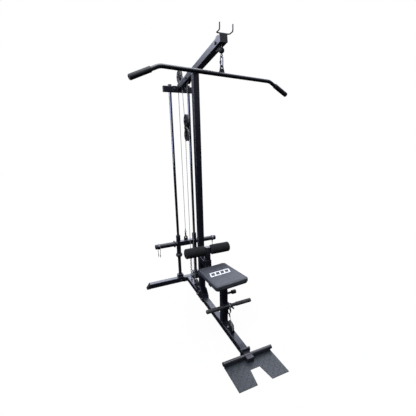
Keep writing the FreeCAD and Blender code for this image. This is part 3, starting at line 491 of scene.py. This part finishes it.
low, high = ends("cable_run_carriage")
cable_run("cable_to_carriage", high, low, "frame", "carriage", "cable_run_carriage")
(front_low, front_high), (back_low, back_high) = split_runs("cable_runs_upper", BLOCK_Y)
cable_run("cable_block_front", front_high, front_low, "frame", "pulley_block", "cable_runs_upper")
cable_run("cable_block_back", back_high, back_low, "frame", "pulley_block")
low, high = ends("cable_run_anchor")
cable_run("cable_anchor", low, high, "frame", "pulley_block", "cable_run_anchor")
low, high = ends("cable_run_low")
cable_run("cable_low", low, high, "frame", "pulley_block", "cable_run_low")
low, high = ends("cable_run_lat")
cable_run("cable_lat", high, low, "frame", "lat_hanger", "cable_run_lat")
low, high = ends("cable_run_row")
cable_run("cable_row", low, high, "frame", "row_hanger", "cable_run_row")


# ---------------------------------------------------------------- foam rollers

FOAM_SIDES = 72


def soft_noise(p, scale):
    """Slow lumps, between -1 and 1."""
    return (math.sin(p.x * scale + 1.3) * math.sin(p.y * scale * 1.1 + 0.4)
            * math.sin(p.z * scale * 0.9 + 2.1))


def foam_roller(side):
    name = "left" if side < 0 else "right"
    lo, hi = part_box(f"foam_roller_{name}")
    r = (hi.z - lo.z) / 2
    origin = Vector((lo.x, (lo.y + hi.y) / 2, (lo.z + hi.z) / 2))
    length = hi.x - lo.x
    fillet = 0.0125
    bore_edge = [(0.006, 0.0130), (0.0012, 0.0150), (0.0, 0.019)]
    arc = [(fillet * (1 - math.cos(t)), r - fillet * (1 - math.sin(t)))
           for t in [math.pi / 2 * i / 6 for i in range(7)]]
    profile = bore_edge + arc
    steps = 26
    for i in range(1, steps):
        s = fillet + (length - 2 * fillet) * i / steps
        belly = 0.0008 * math.sin(math.pi * i / steps)
        profile.append((s, r - 0.0009 + belly))
    profile += [(length - s, q) for s, q in reversed(arc)]
    profile += [(length - s, q) for s, q in reversed(bore_edge)]
    bm = bmesh.new()
    rings = lathe(bm, profile, origin, (1, 0, 0), FOAM_SIDES)
    a, b = rings[0], rings[-1]
    for i in range(FOAM_SIDES):
        j = (i + 1) % FOAM_SIDES
        bm.faces.new((a[i], a[j], b[j], b[i]))
    for vert in bm.verts:
        d = vert.co - origin
        radial = Vector((0, d.y, d.z))
        if radial.length > 0.02:
            swell = 0.0005 * soft_noise(vert.co, 70) + 0.0003 * soft_noise(vert.co, 160)
            vert.co += radial.normalized() * swell
    ob = add_piece(f"foam_{name}", bm, foam, f"roller_{name}")
    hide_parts(f"foam_roller_{name}")


foam_roller(-1)
foam_roller(1)


# ---------------------------------------------------------------- seat cushion

def seat_outline(width, depth, corner, steps=10):
    points = []
    for k, (sx, sy) in enumerate(((1, 1), (-1, 1), (-1, -1), (1, -1))):
        cx, cy = sx * (width / 2 - corner), sy * (depth / 2 - corner)
        for i in range(steps + 1):
            a = math.pi / 2 * (k + i / steps)
            points.append((cx + corner * math.cos(a), cy + corner * math.sin(a)))
    return points


SEAT_TURN = math.radians(5.5)
SEAT_Y = -0.437
SEAT_W, SEAT_D, SEAT_CORNER = 0.273, 0.340, 0.030
SEAT_TAPER = 0.366    # share of the width lost per metre towards the back
PUFF_FRAMES = 20      # length of the cloth run
lo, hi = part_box("seat_pad")
seat_low, seat_high = lo.z, hi.z
turn_seat = Matrix.Translation((0, SEAT_Y, 0)) @ Matrix.Rotation(SEAT_TURN, 4, "Z")


def set_on_seat(verts):
    """Seat shapes are drawn straight round the origin; this narrows them to the back and turns them."""
    for v in verts:
        v.co.x *= 1 - SEAT_TAPER * v.co.y
        v.co = turn_seat @ v.co


def outline_solid(bm, width, depth, corner, levels):
    """levels is (inset, z) from the bottom up; both ends are closed."""
    rings = []
    for inset, z in levels:
        outline = seat_outline(width - 2 * inset, depth - 2 * inset, max(0.004, corner - inset * 0.6))
        rings.append([bm.verts.new((x, y, z)) for x, y in outline])
    n = len(rings[0])
    for a, b in zip(rings, rings[1:]):
        for i in range(n):
            bm.faces.new((a[i], a[(i + 1) % n], b[(i + 1) % n], b[i]))
    bm.faces.new(rings[0])
    bm.faces.new(rings[-1])


def puff(ob, base):
    """Presses the vinyl out from inside with cloth, held at the base; no point moves far."""
    rest = [v.co.copy() for v in ob.data.vertices]
    held = ob.vertex_groups.new(name="held")
    held.add([v.index for v in ob.data.vertices if v.co.z < base + 0.0035], 1.0, "REPLACE")
    cloth = ob.modifiers.new("cloth", "CLOTH")
    s = cloth.settings
    s.use_pressure = True
    s.uniform_pressure_force = 2.4
    s.quality = 6
    s.mass = 0.35
    s.tension_stiffness = 22
    s.compression_stiffness = 22
    s.shear_stiffness = 12
    s.bending_stiffness = 1.6
    s.vertex_group_mass = "held"
    s.effector_weights.gravity = 0.0
    cloth.collision_settings.use_self_collision = False
    cloth.point_cache.frame_start = 1
    cloth.point_cache.frame_end = PUFF_FRAMES
    for f in range(1, PUFF_FRAMES + 1):
        bpy.context.scene.frame_set(f)
    dg = bpy.context.evaluated_depsgraph_get()
    done = [v.co.copy() for v in ob.evaluated_get(dg).data.vertices]
    ob.modifiers.remove(cloth)
    bpy.context.scene.frame_set(1)
    for v, a, b in zip(ob.data.vertices, rest, done):
        d = b - a
        cap = 0.0022 if v.co.z > base + 0.012 else 0.0018
        v.co = a + (d if d.length < cap else d.normalized() * cap)


def gather_corners(ob, base):
    """Folds where the vinyl is pulled under at the corners."""
    reach = 0.036
    for v in ob.data.vertices:
        x, y = v.co.x, v.co.y
        corner = (max(0.0, abs(x) - (SEAT_W / 2 - reach)) * max(0.0, abs(y) - (SEAT_D / 2 - reach))
                  / reach ** 2)
        low_part = max(0.0, min(1.0, (base + 0.022 - v.co.z) / 0.018))
        if corner > 0 and low_part > 0:
            a = math.atan2(abs(y) - (SEAT_D / 2 - SEAT_CORNER), abs(x) - (SEAT_W / 2 - SEAT_CORNER))
            pull = 0.0009 * math.sin(a * 26) * low_part
            out = Vector((math.copysign(1, x), math.copysign(1, y), 0)).normalized()
            v.co += out * pull
        v.co.z = max(v.co.z, base - 0.0002)


def seat_cushion():
    base = seat_low + 0.0085
    top = seat_high - 0.0032
    bm = bmesh.new()
    levels = [(0.004, base), (0.0015, base + 0.004),
              (0.0015, top - 0.006), (0.003, top - 0.0022), (0.0065, top)]
    outline_solid(bm, SEAT_W, SEAT_D, SEAT_CORNER, levels)
    ob = add_piece("seat_cushion", bm, vinyl, None)
    bpy.context.view_layer.objects.active = ob
    remesh = ob.modifiers.new("remesh", "REMESH")
    remesh.mode = "VOXEL"
    remesh.voxel_size = 0.0042
    remesh.use_smooth_shade = True
    bpy.ops.object.modifier_apply(modifier=remesh.name)
    puff(ob, base)
    gather_corners(ob, base)
    set_on_seat(ob.data.vertices)
    sub = ob.modifiers.new("subdivision", "SUBSURF")
    sub.levels = 1
    sub.render_levels = 1
    for p in ob.data.polygons:
        p.use_smooth = True
    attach(ob, "seat")
    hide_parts("seat_pad")
    return ob


cushion = seat_cushion()

# board under the cushion, with the black underlining and its staples
bm = bmesh.new()
outline_solid(bm, SEAT_W, SEAT_D, SEAT_CORNER,
              [(0.009, seat_low), (0.007, seat_low + 0.001), (0.006, seat_low + 0.0095)])
set_on_seat(bm.verts)
add_piece("seat_board", bm, underside, "seat", sharp=40)
bm = bmesh.new()
border = [Vector(p) for p in seat_outline(SEAT_W - 0.034, SEAT_D - 0.034, 0.018, 4)]
sides = list(zip(border, border[1:] + border[:1]))
STAPLES, STAPLE_HALF, STAPLE_WIRE_R = 44, 0.005, 0.0004
staple_in, staple_out = seat_low + 0.0006, seat_low - 0.0003
total = sum((a - b).length for a, b in sides)
walked, target = 0.0, 0.0
for a, b in sides:
    run = (b - a).length
    while run > 1e-6 and target < walked + run:
        p = a.lerp(b, (target - walked) / run)
        d = (b - a).normalized() * STAPLE_HALF
        line = [(p.x - d.x, p.y - d.y, staple_in), (p.x - d.x, p.y - d.y, staple_out),
                (p.x + d.x, p.y + d.y, staple_out), (p.x + d.x, p.y + d.y, staple_in)]
        tube(bm, line, STAPLE_WIRE_R, 5)
        target += total / STAPLES
    walked += run
set_on_seat(bm.verts)
add_piece("seat_staples", bm, zinc, "seat")


PRINT_SLANT = 0.28
PRINT_STEP = 0.006
PRINT_LIFT = 0.00035


def seat_surface(x, y):
    """Point on top of the cushion above local x, y."""
    dg = bpy.context.evaluated_depsgraph_get()
    start = turn_seat @ Vector((x * (1 - SEAT_TAPER * y), y, seat_high + 0.1))
    hit, where, _, _ = cushion.evaluated_get(dg).ray_cast(start, (0, 0, -1))
    return where if hit else start - Vector((0, 0, 0.1))


def printed_bar(bm, x0, x1, y0, y1):
    """A thin slanted patch of print that follows the cushion."""
    across = max(2, round((x1 - x0) / PRINT_STEP))
    down = max(2, round((y1 - y0) / PRINT_STEP))
    grid = []
    for j in range(down + 1):
        y = y0 + (y1 - y0) * j / down
        line = []
        for i in range(across + 1):
            x = x0 + (x1 - x0) * i / across
            spot = seat_surface(x + PRINT_SLANT * y, y)
            line.append(bm.verts.new((spot.x, spot.y, spot.z + PRINT_LIFT)))
        grid.append(line)
    for j in range(down):
        for i in range(across):
            bm.faces.new((grid[j][i], grid[j][i + 1], grid[j + 1][i + 1], grid[j + 1][i]))


# a plain printed panel: a light slanted frame with four dark windows in it
bm = bmesh.new()
left, right, front, back = -0.098, 0.078, -0.014, 0.047
rim, window, gap = 0.011, 0.0310, 0.0100
printed_bar(bm, left, right, front, front + rim)
printed_bar(bm, left, right, back - rim, back)
x = left
for width in (rim, gap, gap, gap, rim):
    printed_bar(bm, x, x + width, front + rim, back - rim)
    x += width + window
panel = add_piece("seat_print", bm, label, "seat")
thick = panel.modifiers.new("thickness", "SOLIDIFY")
thick.thickness = 0.0004
thick.offset = -1.0


# ---------------------------------------------------------------- rubber grips

RIB_PITCH, RIB_DEPTH = 0.0036, 0.0003
GRIP_BORE = 0.0128


def grip_profile(length, r, bore, collar):
    """Inner collar, fine ribs, rounded closed end."""
    profile = [(0.0, bore), (0.0, r + collar - 0.0012), (0.0012, r + collar),
               (0.0055, r + collar), (0.0075, r)]
    start, stop = 0.013, length - 0.013
    ribs = int((stop - start) / RIB_PITCH)
    for i in range(ribs):
        s = start + (stop - start) * i / ribs
        w = (stop - start) / ribs
        profile += [(s, r - RIB_DEPTH), (s + w * 0.22, r),
                    (s + w * 0.62, r), (s + w * 0.84, r - RIB_DEPTH)]
    e = 0.006
    profile += [(stop + 0.001, r)]
    profile += [(length - e + e * math.sin(t), r - e * (1 - math.cos(t)))
                for t in [math.pi / 2 * i / 6 for i in range(7)]]
    profile += [(length, r * 0.4), (length - 0.0006, r * 0.32), (length - 0.0006, 0.0)]
    return profile


LAT_TURN = math.radians(9.7)


LAT_Z = 1.866                     # height of the lat bar's straight middle
LAT_REACH, LAT_BEND = 0.597, 0.420
LAT_FALL = 0.078                  # drop of the bent ends
LAT_GRIP = 0.134
DROP = math.atan2(LAT_FALL, LAT_REACH - LAT_BEND)
bm = bmesh.new()
lo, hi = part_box("lat_bar_grips")
pivot = Vector(((lo.x + hi.x) / 2, (lo.y + hi.y) / 2, 0))
for side in (-1, 1):
    along = Vector((side * math.cos(DROP) * math.cos(LAT_TURN),
                    side * math.cos(DROP) * math.sin(LAT_TURN), -math.sin(DROP)))
    end = Vector((pivot.x + side * LAT_REACH * math.cos(LAT_TURN),
                  pivot.y + side * LAT_REACH * math.sin(LAT_TURN), LAT_Z - LAT_FALL))
    lathe(bm, grip_profile(LAT_GRIP, 0.0165, GRIP_BORE, 0.0004), end - along * LAT_GRIP, along, 48)
ob = add_piece("lat_grips", bm, grip, "lat_bar", sharp=50)
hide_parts("lat_bar_grips")

bm = bmesh.new()
lo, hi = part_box("row_handle_grips")
mid = (lo + hi) / 2
ROW_GRIP_FROM, ROW_COLLAR = 0.060, 0.0008
profile = grip_profile(hi.x - ROW_GRIP_FROM, (hi.z - lo.z) / 2 - ROW_COLLAR, GRIP_BORE, ROW_COLLAR)
for side in (-1, 1):
    start = Vector((side * ROW_GRIP_FROM, mid.y, mid.z))
    lathe(bm, profile, start, (side, 0, 0), 48)
ob = add_piece("row_grips", bm, grip, "row_handle", sharp=50)
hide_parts("row_handle_grips")


# ---------------------------------------------------------------- lozenges on the foot plate

def lozenge(bm, x, y, z, angle, length=0.0290, width=0.0082, height=0.0017):
    c, s = math.cos(angle), math.sin(angle)
    n = 16
    rings = []
    for scale, lift in ((1.0, -0.0004), (0.94, 0.35 * height), (0.72, height * 0.86), (0.4, height)):
        ring = []
        for i in range(n):
            t = 2 * math.pi * i / n
            px = length / 2 * scale * math.cos(t)
            py = width / 2 * scale * math.sin(t) * (1 - 0.45 * abs(math.cos(t)) ** 2)
            ring.append(bm.verts.new((x + px * c - py * s, y + px * s + py * c, z + lift)))
        rings.append(ring)
    for a, b in zip(rings, rings[1:]):
        for i in range(n):
            bm.faces.new((a[i], a[(i + 1) % n], b[(i + 1) % n], b[i]))
    bm.faces.new(rings[-1])
    bm.faces.new(rings[0])


lo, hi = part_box("foot_plate")
plate_top = lo.z + 0.0045
bm = bmesh.new()
pitch = 0.0255
PLATE_RIM, NOTCH_DEEP = 0.012, 0.118
STUB_FRONT_Y, FOOT_BAR_Y = -0.886, -0.840
rows = int((hi.y - lo.y) / pitch) + 1
columns = int((hi.x - lo.x) / pitch) + 1
for j in range(rows):
    for i in range(columns):
        x = lo.x + PLATE_RIM + i * pitch
        y = lo.y + PLATE_RIM + j * pitch
        if x > hi.x - 0.011 or y > hi.y - 0.020:
            continue
        # the notch between the feet, wider towards the front, and the welded stub behind it
        depth = (y - lo.y) / NOTCH_DEEP
        notch = 0.055 - 0.019 * max(0.0, min(1.0, depth))
        in_notch = y < lo.y + NOTCH_DEEP + PLATE_RIM and abs(x) < notch + PLATE_RIM
        under_stub = y > STUB_FRONT_Y and abs(x) < 0.036
        under_bar = abs(y - FOOT_BAR_Y) < 0.021
        if in_notch or under_stub or under_bar:
            continue
        lozenge(bm, x, y, plate_top, math.radians(45 if (i + j) % 2 else -45))
add_piece("plate_lozenges", bm, plate, "frame", sharp=60)


# ---------------------------------------------------------------- welds

EX, EY, EZ = Vector((1, 0, 0)), Vector((0, 1, 0)), Vector((0, 0, 1))
BEAD, FINE_BEAD = 0.0021, 0.0016
BEAM_TOP = 0.0565
ROD_X, ROD_Y, HORN_Z = 0.088, 0.424, 0.430
EYE_Y = 0.442
bm = bmesh.new()
tube_half = 0.025
SEAT_POST_Y, ROLLER_Y = -0.467, -0.157
BOOM_SLOPE, BOOM_Z0 = 0.13835, 1.992


def boom_under(y):
    return BOOM_Z0 - BOOM_SLOPE * y - tube_half * math.hypot(1, BOOM_SLOPE)


weld_bead(bm, rectangle((0, 0, BEAM_TOP), EX, EY, tube_half, tube_half), BEAD)
weld_bead(bm, rectangle((0, SEAT_POST_Y, BEAM_TOP), EX, EY, tube_half, tube_half), BEAD)
for y in (-0.0252, -0.1318):
    weld_bead(bm, rectangle((0, y, 0.419), EX, EZ, tube_half, tube_half), BEAD)
post_top = rectangle((0, 0, 0), EX, EY, tube_half, tube_half)
weld_bead(bm, [(p.x, p.y, boom_under(p.y)) for p in post_top], BEAD)
boom_back_z = BOOM_Z0 - BOOM_SLOPE * 0.392 - 0.0005
weld_bead(bm, rectangle((0, 0.3918, boom_back_z), EX, EZ, tube_half, 0.0252), BEAD)
for y in (0.3808, -0.7968):
    half = [(x, y, z) for x, z in ((0.025, 0.004), (0.025, 0.046), (0.021, 0.050))]
    weld_bead(bm, half + [(-x, yy, z) for x, yy, z in reversed(half)], BEAD, False)
for x in (-ROD_X, ROD_X):
    # the sockets of the guide rods: three sides of the foot block, then the two steps of the collar
    weld_bead(bm, [(x - 0.030, 0.436, BEAM_TOP), (x - 0.030, 0.401, BEAM_TOP),
                   (x + 0.030, 0.401, BEAM_TOP), (x + 0.030, 0.436, BEAM_TOP)], BEAD, False)
    weld_bead(bm, circle((x, ROD_Y, 0.0825), EZ, 0.0202), 0.0018)
    weld_bead(bm, circle((x, ROD_Y, 0.0925), EZ, 0.0163), FINE_BEAD)
weld_bead(bm, circle((0.0255, SEAT_POST_Y, 0.295), EX, 0.0092, 28), FINE_BEAD)
weld_bead(bm, circle((0, ROLLER_Y - 0.0255, 0.405), EY, 0.0082, 28), FINE_BEAD)
for side in (-1, 1):
    for y in (-0.866, -0.8185):
        weld_bead(bm, [(side * 0.0253, y, 0.014 + 0.001 * k) for k in range(22)], FINE_BEAD, False)
add_piece("frame_welds", bm, black, "frame")

bm = bmesh.new()
for side in (-1, 1):
    weld_bead(bm, circle((side * 0.1365, ROD_Y, HORN_Z), EX, 0.0243), 0.0019)
    for z in (0.4547, 0.4053):
        # the inner side of the sleeve, where the cross tube meets it
        arc = []
        for t in [0.0205 * k / 10 for k in range(-10, 11)]:
            arc.append((side * (ROD_X - math.sqrt(max(0.0, 0.0227 ** 2 - t * t))), ROD_Y + t, z))
        weld_bead(bm, arc, 0.0018, False)
    eye_line = [(-0.020 + 0.004 * k, EYE_Y + side * 0.0045, 0.4553) for k in range(11)]
    weld_bead(bm, eye_line, 0.0018, False)
add_piece("carriage_welds", bm, black, "carriage")

bm = bmesh.new()
lo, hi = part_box("lat_bar_tube")
lat_mid = Vector(((lo.x + hi.x) / 2, (lo.y + hi.y) / 2, 0))
for side in (-1, 1):
    line = []
    for k in range(11):
        s = -0.0195 + 0.0039 * k
        line.append((lat_mid.x + s * math.cos(LAT_TURN) - side * 0.0034 * math.sin(LAT_TURN),
                     lat_mid.y + s * math.sin(LAT_TURN) + side * 0.0034 * math.cos(LAT_TURN),
                     LAT_Z + 0.0124))
    weld_bead(bm, line, FINE_BEAD, False)
add_piece("lat_bar_welds", bm, black, "lat_bar")

bm = bmesh.new()
weld_bead(bm, rectangle((0, SEAT_POST_Y, 0.4066), EX, EY, 0.0200, 0.0200, 0.003), 0.0018)
add_piece("seat_plate_welds", bm, black, "seat")

bm = bmesh.new()
for side in (-1, 1):
    weld_bead(bm, circle((side * 0.0203, ROLLER_Y, 0.552), EX, 0.0126, 28), FINE_BEAD)
add_piece("roller_axle_welds", bm, black, "thigh_rest")


# ---------------------------------------------------------------- pulley wheels: ribs and bearings

# the bearing's end ring, as (distance from the middle, radius)
BEARING = [(0.0112, 0.0055), (0.0127, 0.0055), (0.0129, 0.0062),
           (0.0129, 0.0102), (0.0127, 0.0108), (0.0112, 0.0108)]
RIBS = 8
RIM_WALL = 0.0118    # from the rim down to where the ribs end
WHEELS = {
    "pulley_rear_top": "wheel_rear_top",
    "pulley_mid_top": "wheel_mid_top",
    "pulley_front_top": "wheel_front_top",
    "pulley_block_upper": "wheel_block_upper",
    "pulley_block_lower": "wheel_block_lower",
    "pulley_low_rear": "wheel_low_rear",
    "pulley_low_front": "wheel_low_front",
}
for node, body in WHEELS.items():
    lo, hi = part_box(node)
    centre = (lo + hi) / 2
    outer = (hi.z - lo.z) / 2
    bm = bmesh.new()
    for side in (-1, 1):
        for k in range(RIBS):
            turn = Matrix.Rotation(2 * math.pi / RIBS * k, 4, "X")
            made = bmesh.new()
            add_box(made, (0.0078, -0.0016, 0.0120), (0.0104, 0.0016, outer - RIM_WALL), 0.0007)
            made.transform(Matrix.Translation(centre) @ turn @ Matrix.Scale(side, 4, EX))
            mesh = bpy.data.meshes.new("rib")
            made.to_mesh(mesh)
            made.free()
            bm.from_mesh(mesh)
            bpy.data.meshes.remove(mesh)
    add_piece(node + "_ribs", bm, nylon, body, smooth=False)
    bm = bmesh.new()
    for side in (-1, 1):
        lathe(bm, BEARING, centre, (side, 0, 0), 32)
    add_piece(node + "_bearing", bm, zinc, body, sharp=40)


# ---------------------------------------------------------------- spring collars of wound wire

WIRE_R, COIL_R = 0.0023, 0.0268
COIL_X, COIL_LONG = 0.288, 0.01365     # start of the coil along the horn, and its length
COIL_TURNS, TURN_STEPS = 3.5, 40
TAIL_IN, TAIL_LONG = 0.014, 0.0773     # the tails lean in towards each other as they hang
LOOP_W, LOOP_H, LOOP_Z = 0.0077, 0.0177, -0.095


def finger_loop(x, y0, direction):
    """From the tail's foot round the finger loop and back up beside it."""
    out = []
    for k in range(19):
        a = math.pi / 2 + direction * (2 * math.pi * k / 18) * 0.93
        out.append((x, y0 + LOOP_W * math.cos(a), LOOP_Z + LOOP_H * math.sin(a)))
    return out


def sprung_wire(side):
    name = "left" if side < 0 else "right"
    node = f"spring_collar_{name}"
    end_x = COIL_X + COIL_LONG
    path = list(reversed(finger_loop(COIL_X, -COIL_R + TAIL_IN, 1)))
    for k in range(1, 12):
        t = k / 12
        path.append((COIL_X, -COIL_R + TAIL_IN * (1 - t) ** 1.5, -TAIL_LONG + TAIL_LONG * t))
    steps = COIL_TURNS * TURN_STEPS
    for k in range(int(steps) + 1):
        a = math.pi + 2 * math.pi * k / TURN_STEPS
        path.append((COIL_X + COIL_LONG * k / steps, COIL_R * math.cos(a), COIL_R * math.sin(a)))
    for k in range(1, 12):
        t = k / 12
        path.append((end_x, COIL_R - TAIL_IN * t ** 1.5, -TAIL_LONG * t))
    path += finger_loop(end_x, COIL_R - TAIL_IN, -1)
    bm = bmesh.new()
    tube(bm, [(side * x, ROD_Y + y, HORN_Z + z) for x, y, z in path], WIRE_R, 12)
    ob = add_piece(f"collar_wire_{name}", bm, chrome, f"collar_{name}")
    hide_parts(node)


sprung_wire(-1)
sprung_wire(1)


# ---------------------------------------------------------------- nuts of the quick links

NUT_HALF = 0.0085
NUT = [(-NUT_HALF, 0.0), (-NUT_HALF, 0.0052), (-0.0078, 0.0062),
       (0.0078, 0.0062), (NUT_HALF, 0.0052), (NUT_HALF, 0.0)]


def hexagon(a, s):
    """Share of the radius at angle a that makes six flats."""
    return 1.0 / math.cos((a % (math.pi / 3)) - math.pi / 6) * 0.9


def link_nut(name, centre, axis, body):
    bm = bmesh.new()
    lathe(bm, NUT, centre, axis, 36, hexagon)
    add_piece(name, bm, zinc, body, sharp=30)


LAT_CABLE_Y = -0.480
lat_nut = (-0.012 * math.sin(LAT_TURN), LAT_CABLE_Y + 0.012 * math.cos(LAT_TURN), 1.9402)
link_nut("lat_link_nut", lat_nut, EZ, "lat_bar")
link_nut("carriage_link_nut", (0, EYE_Y + 0.0115, 0.5128), EZ, "carriage")
link_nut("row_link_nut", (0.0105, -0.562, 0.2045), EZ, "row_hanger")


# ---------------------------------------------------------------- floor, light and camera

def stage_floor():
    bm = bmesh.new()
    bmesh.ops.create_grid(bm, x_segments=1, y_segments=1, size=14.0)
    mesh = bpy.data.meshes.new("floor")
    bm.to_mesh(mesh)
    bm.free()
    m = bpy.data.materials.new("pale_floor")
    m.use_nodes = True
    sockets = m.node_tree.nodes["Principled BSDF"].inputs
    sockets["Base Color"].default_value = (0.02, 0.02, 0.02, 1)
    sockets["Roughness"].default_value = 0.9
    sockets["Specular IOR Level"].default_value = 0.1
    sockets["Emission Color"].default_value = (1, 1, 1, 1)
    sockets["Emission Strength"].default_value = 0.96
    mesh.materials.append(m)
    ob = bpy.data.objects.new("floor", mesh)
    ob.location = (0, 0, -0.0005)
    bpy.context.scene.collection.objects.link(ob)
    ob.visible_glossy = False
    ob.visible_diffuse = False


def soft_light(name, where, target, size, power, colour=(1, 1, 1)):
    data = bpy.data.lights.new(name, "AREA")
    data.shape = "RECTANGLE"
    data.size, data.size_y = size
    data.energy = power
    data.color = colour
    ob = bpy.data.objects.new(name, data)
    ob.location = where
    ob.rotation_mode = "QUATERNION"
    ob.rotation_quaternion = (Vector(target) - Vector(where)).to_track_quat("-Z", "Y")
    bpy.context.scene.collection.objects.link(ob)


def sun(name, direction, strength, angle):
    data = bpy.data.lights.new(name, "SUN")
    data.energy = strength
    data.angle = math.radians(angle)
    ob = bpy.data.objects.new(name, data)
    ob.rotation_mode = "QUATERNION"
    ob.rotation_quaternion = (-Vector(direction)).to_track_quat("-Z", "Y")
    bpy.context.scene.collection.objects.link(ob)


def sky():
    """White where the camera looks; for other rays bright overhead and dim at the horizon."""
    world = bpy.data.worlds.new("studio")
    bpy.context.scene.world = world
    world.use_nodes = True
    t = world.node_tree
    background = t.nodes["Background"]
    coords = t.nodes.new("ShaderNodeTexCoord")
    split = t.nodes.new("ShaderNodeSeparateXYZ")
    t.links.new(coords.outputs["Generated"], split.inputs[0])
    ramp = t.nodes.new("ShaderNodeValToRGB")
    ramp.color_ramp.elements[0].position = 0.48
    ramp.color_ramp.elements[0].color = (0.035, 0.037, 0.042, 1)
    ramp.color_ramp.elements[1].position = 0.95
    ramp.color_ramp.elements[1].color = (0.42, 0.45, 0.53, 1)
    scaled = t.nodes.new("ShaderNodeMapRange")
    scaled.inputs["From Min"].default_value = -1.0
    t.links.new(split.outputs["Z"], scaled.inputs["Value"])
    t.links.new(scaled.outputs["Result"], ramp.inputs["Fac"])

    def spread(axis, lo, hi, a, b):
        n = t.nodes.new("ShaderNodeMapRange")
        n.interpolation_type = "SMOOTHSTEP"
        for key, value in (("From Min", lo), ("From Max", hi), ("To Min", a), ("To Max", b)):
            n.inputs[key].default_value = value
        t.links.new(split.outputs[axis], n.inputs["Value"])
        return n.outputs["Result"]

    def times(a, b):
        n = t.nodes.new("ShaderNodeMath")
        n.operation = "MULTIPLY"
        t.links.new(a, n.inputs[0])
        t.links.new(b, n.inputs[1])
        return n.outputs[0]

    # what the paint mirrors: dark below, dim at the horizon, a bright wall high up behind
    wall = times(times(spread("Z", 0.20, 0.40, 0.0, 1.0), spread("Y", -0.1, 0.6, 0.15, 3.2)),
                 spread("Z", 0.46, 0.78, 1.0, 0.16))
    add = t.nodes.new("ShaderNodeMath")
    t.links.new(wall, add.inputs[0])
    t.links.new(spread("Z", -0.04, 0.16, 0.02, 0.26), add.inputs[1])
    tint = t.nodes.new("ShaderNodeMix")
    tint.data_type = "RGBA"
    tint.blend_type = "MULTIPLY"
    tint.inputs[0].default_value = 1.0
    t.links.new(add.outputs[0], tint.inputs[6])
    tint.inputs[7].default_value = (0.86, 0.90, 1.08, 1)
    path = t.nodes.new("ShaderNodeLightPath")
    reflection = t.nodes.new("ShaderNodeMix")
    reflection.data_type = "RGBA"
    t.links.new(path.outputs["Is Glossy Ray"], reflection.inputs[0])
    t.links.new(ramp.outputs["Color"], reflection.inputs[6])
    t.links.new(tint.outputs[2], reflection.inputs[7])
    mix = t.nodes.new("ShaderNodeMix")
    mix.data_type = "RGBA"
    t.links.new(path.outputs["Is Camera Ray"], mix.inputs[0])
    t.links.new(reflection.outputs[2], mix.inputs[6])
    mix.inputs[7].default_value = (1.0, 1.0, 1.0, 1)
    t.links.new(mix.outputs[2], background.inputs["Color"])
    background.inputs["Strength"].default_value = 1.0


def camera():
    yaw, pitch, roll = math.radians(-24.404), math.radians(-14.623), math.radians(-1.040)
    forward = Vector((-math.sin(yaw) * math.cos(pitch),
                      math.cos(yaw) * math.cos(pitch), math.sin(pitch)))
    right = Vector((math.cos(yaw), math.sin(yaw), 0))
    up = right.cross(forward)
    rolled_right = right * math.cos(roll) + up * math.sin(roll)
    rolled_up = up * math.cos(roll) - right * math.sin(roll)
    data = bpy.data.cameras.new("camera")
    data.sensor_width = 36.0
    data.lens = 23.517
    data.shift_x = -0.0209
    data.shift_y = 0.0108
    data.clip_start, data.clip_end = 0.05, 100
    ob = bpy.data.objects.new("camera", data)
    m = Matrix((rolled_right, rolled_up, -forward)).transposed().to_4x4()
    m.translation = Vector((-0.8245, -2.1808, 1.4552))
    ob.matrix_world = m
    bpy.context.scene.collection.objects.link(ob)
    bpy.context.scene.camera = ob


stage_floor()
sky()
sun("key_sun", (-0.9, -0.75, 1.6), 1.8, 35)
sun("top_sun", (0.25, 0.1, 1.0), 1.5, 60)
soft_light("left_box", (-3.2, -0.4, 2.2), (0, -0.1, 1.2), (1.2, 2.6), 70, (0.66, 0.74, 1.0))
soft_light("high_box", (0.2, -1.2, 4.4), (0, -0.4, 0.5), (2.2, 1.6), 46, (0.92, 0.95, 1.0))
bpy.context.scene.view_settings.view_transform = "Standard"
camera()
